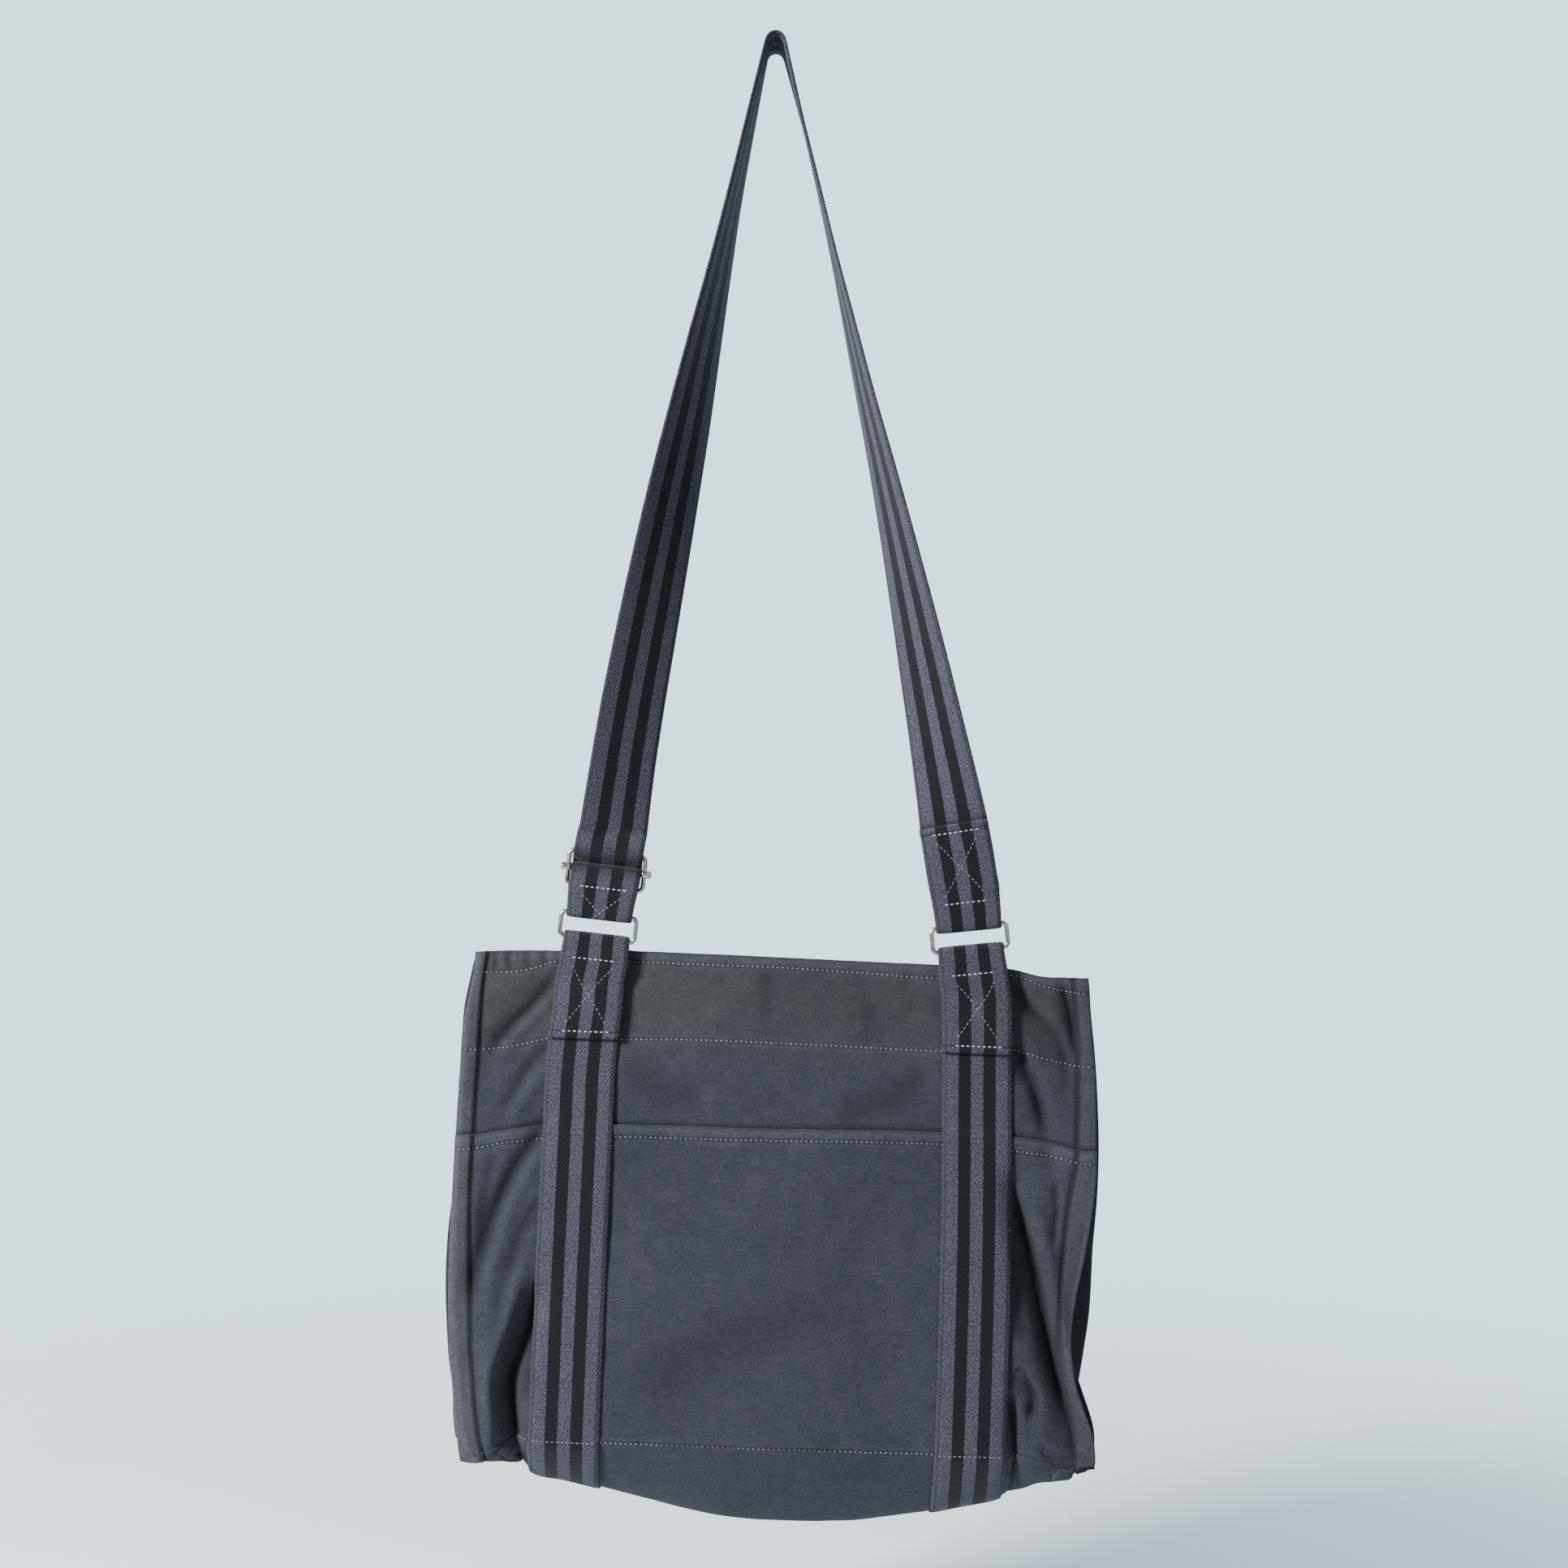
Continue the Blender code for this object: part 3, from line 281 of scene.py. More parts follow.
# Each leg of the strap, as shares of the way from the hanging point to the leg's low end, and the turn
# about its own line in degrees.
STRAP_LEFT = (
    # down, across, turn
    (0.104, 0.156, 4.0),
    (0.196, 0.251, 8.5),
    (0.289, 0.343, 16.0),
    (0.381, 0.437, 25.6),
    (0.474, 0.529, 35.5),
    (0.565, 0.621, 44.2),
    (0.658, 0.710, 51.5),
    (0.750, 0.795, 57.5),
    (0.843, 0.878, 62.5),
    (0.935, 0.949, 67.0),
    (0.994, 0.989, 74.0),
)
STRAP_RIGHT = (
    # down, across, turn
    (0.099, 0.154, -4.0),
    (0.180, 0.239, -2.0),
    (0.261, 0.320, 1.0),
    (0.343, 0.402, 6.0),
    (0.424, 0.483, 11.0),
    (0.506, 0.568, 17.5),
    (0.588, 0.648, 25.0),
    (0.669, 0.723, 33.5),
    (0.750, 0.795, 43.0),
    (0.831, 0.865, 53.0),
    (0.913, 0.932, 70.0),
    (0.972, 0.975, 90.0),
    (0.994, 0.990, 90.0),
)

# One stitch from end to end, in shares of its length, half its thickness and how far it stands out.
STITCH_SHAPE = ((-0.5, 0.35, -0.9), (-0.36, 0.85, -0.2), (0, 1, 0.1), (0.36, 0.85, -0.2), (0.5, 0.35, -0.9))

# The ridges' rise, how much of it their outer edge loses over so far, and the grooves of the stitched rows.
RIDGE_RISE, RIDGE_FALL, RIDGE_EDGE = 1.3, 0.75, 3.5
RIDGE_GROOVE, SEAM_GROOVE = 0.8, 0.45
# The cloth's puckers by height, size and reach, and its lumps by rise and size.
RIDGE_PUCKERS, SEAM_PUCKERS = (0.35, 8.0, 7.0), (0.32, 6.5, 6.0)
CLOTH_LUMPS = ((0.9, 44), (0.4, 19), (0.07, 6.5))
# Stitches by length, thickness and pitch.
SEAM_STITCH, RIDGE_STITCH = (1.5, 0.78, 2.75), (1.3, 0.6, 2.3)
ROW_STITCH, CROSS_STITCH = (2.0, 0.75, 2.95), (1.8, 0.5, 2.7)

# The knots across a wall: edge, stitch, both edges of a webbing, both of the other, stitch and edge.
KNOTS = (0.0, 0.03, 0.19, 0.29, 0.71, 0.81, 0.97, 1.0)
KNOT_STITCHES = (1, 6)
FINE_ACROSS = np.concatenate([
    np.linspace(0, KNOTS[1], 11)[:-1],
    np.linspace(KNOTS[1], KNOTS[-2], 170),
    np.linspace(KNOTS[-2], 1.0, 11)[1:],
])


def ease(t):
    t = np.clip(t, 0, 1)
    return t * t * (3 - 2 * t)


def bell(away, width):
    """1 on a line, falling towards 0 within about two widths of it."""
    return np.exp(-((away / width) ** 2))


def unit(vectors):
    return vectors / np.linalg.norm(vectors, axis=-1, keepdims=True)


def run_along(grid, axis=0):
    """How far along a line, or along the lines of a grid, each of its points lies."""
    steps = np.diff(grid, axis=axis, prepend=np.take(grid, [0], axis))
    return np.cumsum(np.linalg.norm(steps, axis=-1), axis=axis)


def smooth(t, keys, values):
    """A smooth curve through the values at the keys, level beyond both ends. Values may be rows."""
    keys, values = np.asarray(keys, float), np.asarray(values, float)
    slope = np.gradient(values, keys, axis=0)
    t = np.clip(np.asarray(t, float), keys[0], keys[-1])
    i = np.clip(np.searchsorted(keys, t, side="right") - 1, 0, len(keys) - 2)
    step = keys[i + 1] - keys[i]
    u = (t - keys[i]) / step
    extra = (...,) + (None,) * (values.ndim - 1)
    u, step = u[extra], step[extra]
    start = (1 + 2 * u) * (1 - u) ** 2 * values[i] + u * (1 - u) ** 2 * step * slope[i]
    return start + u * u * (3 - 2 * u) * values[i + 1] - u * u * (1 - u) * step * slope[i + 1]


def column(table, name, t):
    """One named column of a table, or a slice of them, read smoothly at t in its first column."""
    rows = np.array(table)
    return smooth(t, rows[:, 0], rows[:, name])


def ripple(x, y, size, seed):
    """Smooth unevenness from -1 to 1 in lumps about as large as size."""
    count = 97
    lattice = np.random.default_rng(seed).uniform(-1, 1, (count, count))
    u, v = np.asarray(x, float) / size + 500.3, np.asarray(y, float) / size + 500.7
    i, j = np.floor(u).astype(int), np.floor(v).astype(int)
    a, b = ease(u - i), ease(v - j)
    near, far = (
        lattice[i % count, (j + shift) % count] * (1 - a) + lattice[(i + 1) % count, (j + shift) % count] * a
        for shift in (0, 1)
    )
    return near * (1 - b) + far * b


def cloth_relief(across, down, seed):
    """The broad and fine unevenness of washed canvas."""
    return sum(rise * ripple(across, down, size, seed + i) for i, (rise, size) in enumerate(CLOTH_LUMPS))


def pucker(away, along, seed, height, size, reach):
    """The small ripples that stand across a seam and fade away from it."""
    return height * bell(away, reach) * ripple(along, away * 0.2, size, seed)


def beside(line, across, down):
    """How far each point is from a line, squared, and how far along the line its nearest point is, 0 to 1."""
    away, nearest = np.full(across.shape, np.inf), np.zeros(across.shape)
    for s, (start, end) in enumerate(zip(line[:-1], line[1:])):
        run = end - start
        part = np.clip(((across - start[0]) * run[0] + (down - start[1]) * run[1]) / (run @ run), 0, 1)
        gap = (across - start[0] - part * run[0]) ** 2 + (down - start[1] - part * run[1]) ** 2
        nearest = np.where(gap < away, (s + part) / (len(line) - 1), nearest)
        away = np.minimum(gap, away)
    return away, nearest


def fold_lines(folds):
    """Each fold as its bent line, its width and its depth."""
    steps = np.linspace(0, 1, 25)[:, None]
    for *spots, width, height in folds:
        start, middle, end = np.reshape(spots, (3, 2)) * (HALF_WIDTH, HEIGHT)
        line = (1 - steps) ** 2 * start + 2 * steps * (1 - steps) * middle + steps**2 * end
        yield line, width * FOLD_WIDTH, height * FOLD_DEPTH


def crease_lines(creases):
    """Each fine crease as its smooth line, its width and its depth."""
    for width, height, *points in creases:
        yield smooth(np.linspace(0, 1, 16), np.linspace(0, 1, len(points)), points), width, height


def fold_fade(nearest):
    return np.sin(np.pi * np.clip(0.12 + 0.76 * nearest, 0, 1)) ** 0.8


def crease_fade(nearest):
    return ease(nearest * 5) * ease((1 - nearest) * 5)


def pushed(lines, fade, reach, across, down):
    """How far lines of (points, width, depth) push the cloth back, out to reach widths from each."""
    across, down = np.broadcast_arrays(np.asarray(across, float), np.asarray(down, float))
    depth = np.zeros(across.shape)
    for line, width, height in lines:
        low, high = line.min(axis=0) - reach * width, line.max(axis=0) + reach * width
        if all(p.max() > a and p.min() < b for p, a, b in zip((across, down), low, high)):
            away, nearest = beside(line, across, down)
            depth += height * fade(nearest) * np.exp(-away / width**2)
    return depth


def joined(*parts):
    """Points of the bag's body or of a flat cloth, from what they are across, deep and down."""
    return np.stack(np.broadcast_arrays(*parts), axis=-1)


def placed(grid):
    """Body points (across, depth, down) as points of the part's frame, in millimetres."""
    cos, sin = math.cos(math.radians(LEAN)), math.sin(math.radians(LEAN))
    return grid @ np.array([(cos, 0, -sin), (0, 1, 0), (-sin, 0, -cos)]) + (ASIDE, 0.0, -DROP)


class Wall:
    """A wall of the bag: where its edges and level lines run, how its cloth lies, where it is worn, and where
    shade is painted on it.
    """

    def __init__(self, edges, levels, ends, folds, creases, out, top, seams, seeds, stand=0.0):
        self.edges, self.levels, self.ends, self.out, self.stand = edges, levels, ends, out, stand
        self.folds, self.creases = list(fold_lines(folds)), list(crease_lines(creases))
        self.top, self.seams, self.seeds = top, seams, seeds

    def lines(self, down):
        """How far across the eight knots of the wall lie at each point down it."""
        share = np.asarray(down, float) / HEIGHT
        sides, middles = (column(t, slice(1, None), share) * HALF_WIDTH for t in (self.edges, WEBBING_LINE))
        webbings = np.repeat(middles, 2, axis=-1) + WEBBING_HALF * np.array([-1, 1, -1, 1])
        return np.concatenate([sides[..., :2], webbings, sides[..., 2:]], axis=-1)

    def level(self, name, across):
        """How far down a named line of the wall lies."""
        return column(self.levels, name, np.asarray(across) / HALF_WIDTH) * HEIGHT

    def points(self, names, rows, shares):
        """Points across and down the wall: rows run from 0 at its first named level by 1 to the next."""
        rows = np.asarray(rows, float)
        guess = np.interp(rows, range(len(names)), [self.level(name, 0.0) for name in names])
        across = np.array([np.interp(shares, KNOTS, knots) for knots in self.lines(guess)])
        marks = np.stack([self.level(name, across) for name in names])
        low = np.clip(rows.astype(int), 0, len(names) - 2)
        part = (rows - low)[:, None]
        picked = np.arange(len(rows))
        return across, marks[low, picked] * (1 - part) + marks[low + 1, picked] * part

    def depth(self, across, down):
        """How deep the cloth lies with its folds alone."""
        share = down / HEIGHT
        start, end = self.ends
        plain = start + (end - start) * (0.5 * ease(share) + 0.5 * np.clip(share, 0, 1.1))
        return plain + pushed(self.folds, fold_fade, 6, across, down)

    def creased(self, across, down):
        return pushed(self.creases, crease_fade, 3, across, down)

    def relief(self, across, down):
        """How far the ridges, the sunk and puckered rows of stitches and the uneven cloth stand out."""
        side, seam, cloth = self.seeds
        knots = self.lines(down)
        relief = cloth_relief(across, down, cloth)
        for sign, stitch, edge in ((-1, 1, 0), (1, 6, 7)):
            out = sign * (across - knots[..., stitch])
            wide = sign * (knots[..., edge] - knots[..., stitch])
            fall = 1 - RIDGE_FALL * ease((out - wide) / RIDGE_EDGE + 1)
            relief = relief + RIDGE_RISE * ease(out / 2) * fall - RIDGE_GROOVE * bell(out, 1)
            relief = relief + pucker(out, down, side + (sign > 0), *RIDGE_PUCKERS)
        for name in self.seams:
            away = down - self.level(name, across)
            relief = relief - SEAM_GROOVE * bell(away, 0.8) + pucker(away, across, seam + name, *SEAM_PUCKERS)
        return relief

    def face(self, across, down):
        """A point of the wall's outer face."""
        depth = self.depth(across, down) + self.creased(across, down)
        return joined(across, depth + self.out * (self.relief(across, down) + self.stand), down)

    def raised(self, across, down, lift):
        """A point over the wall's folds, raised by a lift."""
        return joined(across, self.depth(across, down) + self.out * lift, down)

    def marks(self, across, down):
        """How much the cloth is rubbed pale, has turned brown, and is darkened by painted shade, from 0 to 1.
        """
        knots = self.lines(down)
        out = np.maximum(knots[..., 1] - across, across - knots[..., 6])
        wide = np.where(across < 0, knots[..., 1] - knots[..., 0], knots[..., 7] - knots[..., 6])
        wear = 0.75 * ease((out - wide + 4.5) / 4.5) + 0.25 * ease(out / 2)
        # Painted shade in the groove beside each ridge's row of stitches.
        painted_shade = 0.95 * bell(out, 1.2)
        for name in (self.top, *self.seams):
            away = down - self.level(name, across)
            wear = wear + 0.2 * bell(np.abs(away) - 1.9, 1.2) + 0.4 * (name == self.top) * bell(away, 4)
            # Painted shade along each stitched row and along the top edge.
            painted_shade = painted_shade + 0.45 * bell(away, 0.9)
        if self.creases:
            # Painted shade in the front's creases and folds.
            folds = pushed(self.folds, fold_fade, 6, across, down)
            painted_shade = painted_shade + 0.24 * np.maximum(self.creased(across, down), 0) + 0.05 * np.maximum(folds, 0)
            # A wider band of painted shade along the right ridge's stitches, whose groove faces the light
            # from the left.
            painted_shade = painted_shade + 0.5 * bell(across - knots[..., 6], 1.9)
        warm = 0.9 * ease((self.level(HEM, across) + 25 - down) / 45) + 0.8 * ease(out / 3)
        marks = {"wear": wear, "warm": warm, "painted_shade": painted_shade}
        return {name: np.clip(mark, 0, 1) for name, mark in marks.items()}

    def row(self, across, down):
        """A row of stitches on the wall: its points and its normals in the part's frame."""
        beside_it = ((0, 0), (0.5, 0), (-0.5, 0), (0, 0.5), (0, -0.5))
        points, right, left, low, high = (placed(self.face(across + a, down + d)) for a, d in beside_it)
        normal = unit(np.cross(low - high, right - left))
        return points, normal * np.sign(normal[:, 1:2]) * self.out


class PocketWall(Wall):
    """The pocket over the front, with its turned hem raised."""

    def relief(self, across, down):
        past = down - self.level(POCKET_STITCH, across)
        hem = 0.45 * ease(1 - (past + 1.5) / 2) + 0.3 * ripple(across, 0 * across, 30, 66)
        return super().relief(across, down) + hem


FRONT_SHAPE = (FRONT_EDGES, FRONT_LEVELS, (FRONT_TOP, FRONT_LOW), FRONT_FOLDS, CREASES, -1)
BACK_SHAPE = (BACK_EDGES, BACK_LEVELS, (BACK_TOP, BACK_LOW), BACK_FOLDS, (), 1)
FRONT = Wall(*FRONT_SHAPE, TOP, (TOP_STITCH, HEM), (11, 20, 31))
FLAT_POCKET = PocketWall(*FRONT_SHAPE, POCKET, (POCKET_STITCH, SEAM), (11, 50, 61), GAP + CANVAS)
BACK = Wall(*BACK_SHAPE, TOP, (TOP_STITCH, HEM), (71, 80, 91))


def normals(grid):
    """Unit normals of a grid of points, along its second axis crossed with its first."""
    return unit(np.cross(np.gradient(grid, axis=1), np.gradient(grid, axis=0)))


def grid_faces(rows, cols):
    r, c = np.meshgrid(np.arange(rows - 1), np.arange(cols - 1), indexing="ij")
    a = (r * cols + c).ravel()
    return np.stack([a, a + 1, a + cols + 1, a + cols], axis=1)


def tube_faces(rings, sides, closed=False):
    """The faces of a tube from ring to ring, capped at both ends or closed on itself."""
    i, k = np.meshgrid(np.arange(rings if closed else rings - 1), np.arange(sides), indexing="ij")
    j, m = (i + 1) % rings, (k + 1) % sides
    faces = np.stack([i * sides + k, i * sides + m, j * sides + m, j * sides + k], axis=-1).reshape(-1, 4)
    if closed:
        return faces
    strips = [(k, k + 1, sides - 2 - k, sides - 1 - k) for k in range(sides // 2 - 1)]
    return np.concatenate([faces, strips, np.array(strips) + (rings - 1) * sides])


def add_object(name, data, place=(0.0, 0.0, 0.0)):
    """A new object of the scene at a place in metres."""
    made = bpy.data.objects.new(name, data)
    made.location = place
    bpy.context.scene.collection.objects.link(made)
    return made


def add_piece(name, points, faces, look, node=None, lay=None, marks=None):
    """A smooth mesh piece that rides with the bag, in place of a solid where it has one, with its finish."""
    mesh = bpy.data.meshes.new(name)
    mesh.from_pydata((np.asarray(points) * MM).tolist(), [], faces.tolist())
    work = bmesh.new()
    work.from_mesh(mesh)
    bmesh.ops.recalc_face_normals(work, faces=work.faces)
    if work.calc_volume(signed=True) < 0:
        bmesh.ops.reverse_faces(work, faces=work.faces)
    work.to_mesh(mesh)
    work.free()
    mesh.shade_smooth()
    if lay is not None:
        corners = np.empty(len(mesh.loops), int)
        mesh.loops.foreach_get("vertex_index", corners)
        mesh.uv_layers.new(name="lay").data.foreach_set("uv", (lay * MM)[corners].ravel())
    for mark, values in (marks or {}).items():
        mesh.attributes.new(mark, "FLOAT", "POINT").data.foreach_set("value", values)
    mesh.materials.append(look)
    piece = add_object(name, mesh)
    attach(piece, "root")
    if node:
        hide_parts(node)
    return piece


def add_wall(name, outer, inner, look, lay, marks, node, bulge=0.35, notch=0.0):
    """A closed piece of cloth between two grids, its rim rounded, and notched where it is a selvage."""
    rows, cols = outer.shape[:2]
    count = rows * cols
    index = np.arange(count).reshape(rows, cols)
    rim = np.concatenate([index[0, :-1], index[:-1, -1], index[-1, :0:-1], index[:0:-1, 0]])
    r, c = np.divmod(rim, cols)
    inside = np.clip(r, 1, rows - 2) * cols + np.clip(c, 1, cols - 2)
    flat, under = outer.reshape(-1, 3), inner.reshape(-1, 3)
    thick = np.linalg.norm(flat[rim] - under[rim], axis=1, keepdims=True)
    tooth = notch * np.where(r % 2 == 0, 1.0, -1.0)[:, None]
    edge = (flat[rim] + under[rim]) / 2 + unit(flat[rim] - flat[inside]) * (thick * bulge + tooth)
    ring = 2 * count + np.arange(len(rim))
    after, rim_after = np.roll(ring, -1), np.roll(rim, -1)
    over = np.stack([rim_after, rim, ring, after], axis=1)
    below = np.stack([after, ring, count + rim, count + rim_after], axis=1)
    faces = grid_faces(rows, cols)
    faces = np.concatenate([faces, faces[:, ::-1] + count, over, below])

    def everywhere(values):
        return np.concatenate([values, values, values[rim]])

    marks = {mark: everywhere(np.broadcast_to(value, (rows, cols)).ravel()) for mark, value in marks.items()}
    points = np.concatenate([flat, under, edge])
    return add_piece(name, points, faces, look, node, everywhere(lay.reshape(-1, 2)), marks)


def add_panel(name, node, outer, lay, marks, inner=None):
    """A panel of canvas: its outer face, and an inner face a canvas thickness behind it unless one is given.
    """
    inner = outer - normals(outer) * CANVAS if inner is None else inner
    cloth = add_wall(name, placed(outer), placed(inner), CANVAS_LOOK, lay, marks, node)


def rows_between(*counts):
    """Row numbers with so many steps from each level to the next."""
    runs = [np.linspace(i, i + 1, n, endpoint=False) for i, n in enumerate(counts)]
    return np.append(np.concatenate(runs), len(counts))


def maths(operation, flipped=False):
    """An operator that adds the Math node it needs, with its values the other way round if flipped."""

    def operator(self, *others):
        values = (*others, self) if flipped else (self, *others)
        return self.finish.node("ShaderNodeMath", {"operation": operation}, dict(enumerate(values)))

    return operator


class Value:
    """A socket that can stand in a sum."""

    def __init__(self, finish, socket):
        self.finish, self.socket = finish, socket

    __add__ = __radd__ = maths("ADD")
    __mul__ = __rmul__ = maths("MULTIPLY")
    __sub__, __rsub__ = maths("SUBTRACT"), maths("SUBTRACT", True)
    __abs__, wave = maths("ABSOLUTE"), maths("SINE")

    def rise(self, low, high, way="SMOOTHSTEP"):
        """From 0 at low to 1 at high, softly unless the way is linear."""
        return self.finish.node("ShaderNodeMapRange", {"interpolation_type": way}, {0: self, 1: low, 2: high})


class Finish:
    """A material, or the room's light, in the making, with its nodes added as its maths is written."""

    def __init__(self, owner, shader="Principled BSDF", sockets=()):
        owner.use_nodes = True
        self.material, self.tree = owner, owner.node_tree
        self.shader = self.tree.nodes[shader]
        for name, value in dict(sockets).items():
            self.set(name, value)

    def node(self, kind, settings, sockets, output=0):
        """Adds a node: its settings first, then the values or links of its sockets."""
        made = self.tree.nodes.new(kind)
        for name, setting in settings.items():
            setattr(made, name, setting)
        for name, value in sockets.items():
            self.fill(made.inputs[name], value)
        return Value(self, made.outputs[output])

    def fill(self, socket, value):
        if isinstance(value, Value):
            self.tree.links.new(value.socket, socket)
        else:
            socket.default_value = value

    def set(self, name, value):
        self.fill(self.shader.inputs[name], value)

    def mixed(self, share, first, second):
        """Two colours mixed by a share."""
        first, second = (c if isinstance(c, Value) else (*c, 1.0) for c in (first, second))
        return self.node("ShaderNodeMix", {"data_type": "RGBA"}, {0: share, 6: first, 7: second}, 2)

    def lay(self):
        """Where a point lies on the flat cloth, in metres."""
        return self.node("ShaderNodeUVMap", {"uv_map": "lay"}, {})

    def place(self, output=3):
        """Where a point lies in its own piece, in metres."""
        return self.node("ShaderNodeTexCoord", {}, {}, output)

    def part(self, spot, axis):
        return self.node("ShaderNodeSeparateXYZ", {}, {0: spot}, axis)

    def noise(self, spot, size, detail=2.0, roughness=0.5):
        """Unevenness about 0.5 in lumps of so many metres."""
        sockets = {"Vector": spot, "Scale": 1 / size, "Detail": detail, "Roughness": roughness}
        return self.node("ShaderNodeTexNoise", {}, sockets)

    def mark(self, name):
        return self.node("ShaderNodeAttribute", {"attribute_name": name}, {}, 2)

    def bump(self, height, distance):
        self.set("Normal", self.node("ShaderNodeBump", {}, {"Height": height, "Distance": distance}))


def finish_named(name, roughness, specular=0.5, sheen=0.0, metallic=0.0):
    """A new material with its constant looks set."""
    sockets = {"Roughness": roughness, "Metallic": metallic, "Sheen Weight": sheen}
    return Finish(bpy.data.materials.new(name), sockets={**sockets, "Specular IOR Level": specular})


# The near-black that painted shade darkens canvas and webbing towards.
PAINTED_SHADE_COLOUR = (0.003, 0.0035, 0.006)
CANVAS_DEEP, CANVAS_FADED = (0.0096, 0.0118, 0.0170), (0.052, 0.056, 0.066)
CANVAS_WARM = (0.0165, 0.0162, 0.0165)
WEBBING_GREY = (0.0105, 0.0105, 0.0165), (0.066, 0.067, 0.089)
WEBBING_BLACK = (0.0008, 0.0013, 0.0024), (0.0048, 0.0064, 0.0104)
YARN, TWILL, RIB = (2 * math.pi / size for size in (0.00088, 0.0018, 0.0012))


def canvas_finish():
    """Washed plain-weave canvas, a little uneven, rubbed pale along its ridges and seams, and darkened by
    painted shade.
    """
    finish = finish_named("washed canvas", 0.9, 0.12, 0.05)
    lay = finish.lay()
    weave = (finish.part(lay, 0) * YARN).wave() * (finish.part(lay, 1) * YARN).wave()
    cloudy = finish.noise(lay, 0.07, 4.0, 0.55).rise(0.3, 0.7)
    mottle = finish.noise(lay, 0.009, 3.0, 0.6).rise(0.25, 0.75)
    fleck = finish.noise(lay, 0.0009, 2.0, 0.65)
    grain = finish.noise(lay, 0.0024, 3.0, 0.7)
    pale = cloudy * 0.12 + mottle * 0.12 + (fleck - 0.5) * 1.2 + (grain - 0.5) * 0.55
    pale = pale + finish.mark("wear") * (0.25 + grain * 1.3) * 0.5 + weave * 0.08 + 0.16
    brown = finish.mark("warm") * (0.55 + cloudy * 0.45) + (mottle - 0.5) * 0.3
    cloth = finish.mixed(pale.rise(-0.15, 1.15), finish.mixed(brown, CANVAS_DEEP, CANVAS_WARM), CANVAS_FADED)
    # Painted shade: the cloth darkened towards a near-black where the shade mark is high.
    finish.set("Base Color", finish.mixed(finish.mark("painted_shade") * 0.75, cloth, PAINTED_SHADE_COLOUR))
    finish.bump(weave * 0.35 + fleck * 0.6 + mottle * 0.3, 0.00025)
    return finish.material


def webbing_finish():
    """Striped twill webbing: grey melange yarn with two black stripes and a dotted selvage, darkened by
    painted shade.
    """
    finish = finish_named("striped webbing", 0.85, 0.15, 0.05)
    lay = finish.lay()
    across, along = finish.part(lay, 0), finish.part(lay, 1)
    aside = abs(across) + (finish.noise(lay, 0.0022, 1.0) * 0.0008 - 0.0004)
    start, end = (aside.rise(edge * MM - 0.00015, edge * MM + 0.00015) for edge in STRIPES)
    fleck = finish.noise(lay, 0.0013, 3.0, 0.75)
    twill = ((across + along * 0.6) * TWILL).wave()
    ribs = (along * RIB).wave()
    light = (fleck - 0.5) * 2.2 + finish.noise(lay, 0.012, 3.0, 0.6) * 0.3 + twill * 0.1 + ribs * 0.07 + 0.33
    grey = finish.mixed(light.rise(-0.1, 1.15), *WEBBING_GREY)
    black = finish.mixed(light.rise(0.0, 1.3), *WEBBING_BLACK)
    selvage = abs(abs(across) - 0.0173).rise(0.0007, 0.0003) * ribs.rise(-0.2, 0.5)
    striped = finish.mixed(selvage * 0.8, finish.mixed(start - end, grey, black), WEBBING_BLACK[0])
    # Painted shade: the webbing darkened towards a near-black where the shade mark is high.
    finish.set("Base Color", finish.mixed(finish.mark("painted_shade") * 0.85, striped, PAINTED_SHADE_COLOUR))
    finish.bump(twill * 0.25 + ribs * 0.35 + fleck * 0.9, 0.0004)
    return finish.material


def steel_finish():
    """Polished steel wire with a little wear."""
    finish = finish_named("worn steel", 0.3, metallic=1.0)
    rub = finish.noise(finish.place(), 0.004, 4.0, 0.7)
    finish.set("Base Color", finish.mixed(rub.rise(0.3, 0.7), (0.25, 0.242, 0.226), (0.44, 0.427, 0.4)))
    finish.set("Roughness", 0.16 + rub * 0.2)
    finish.bump(finish.noise(finish.place(), 0.0006, 3.0), 0.00003)
    return finish.material


def thread_finish(name, dark, pale):
    finish = finish_named(name, 0.7, 0.2)
    fuzz = finish.noise(finish.place(), 0.002).rise(0.3, 0.7)
    finish.set("Base Color", finish.mixed(fuzz, dark, pale))
    return finish.material


CANVAS_LOOK, WEBBING_LOOK, STEEL_LOOK = canvas_finish(), webbing_finish(), steel_finish()
PALE_THREAD = thread_finish("pale thread", (0.24, 0.25, 0.27), (0.42, 0.43, 0.45))
GREY_THREAD = thread_finish("grey thread", (0.095, 0.102, 0.118), (0.18, 0.19, 0.21))
CROSS_THREAD = thread_finish("cross thread", (0.1, 0.105, 0.12), (0.2, 0.205, 0.22))
DARK_THREAD = thread_finish("dark thread", (0.008, 0.011, 0.019), (0.02, 0.026, 0.038))


def front_cloth():
    """The front panel: hem, ridges, folds and all, down to the seam of the base."""
    across, down = FRONT.points(PANEL_LEVELS, rows_between(4, 28, 26, 14), FINE_ACROSS)
    marks = FRONT.marks(across, down)
    # Painted shadow on the front just above the pocket's mouth.
    pocket_mouth_shadow = 0.95 * bell(FRONT.level(POCKET, across) - down, 1.7)
    marks["painted_shade"] = np.clip(marks["painted_shade"] + pocket_mouth_shadow, 0, 1)
    add_panel("front_cloth", "front_panel", FRONT.face(across, down), joined(across, down), marks)


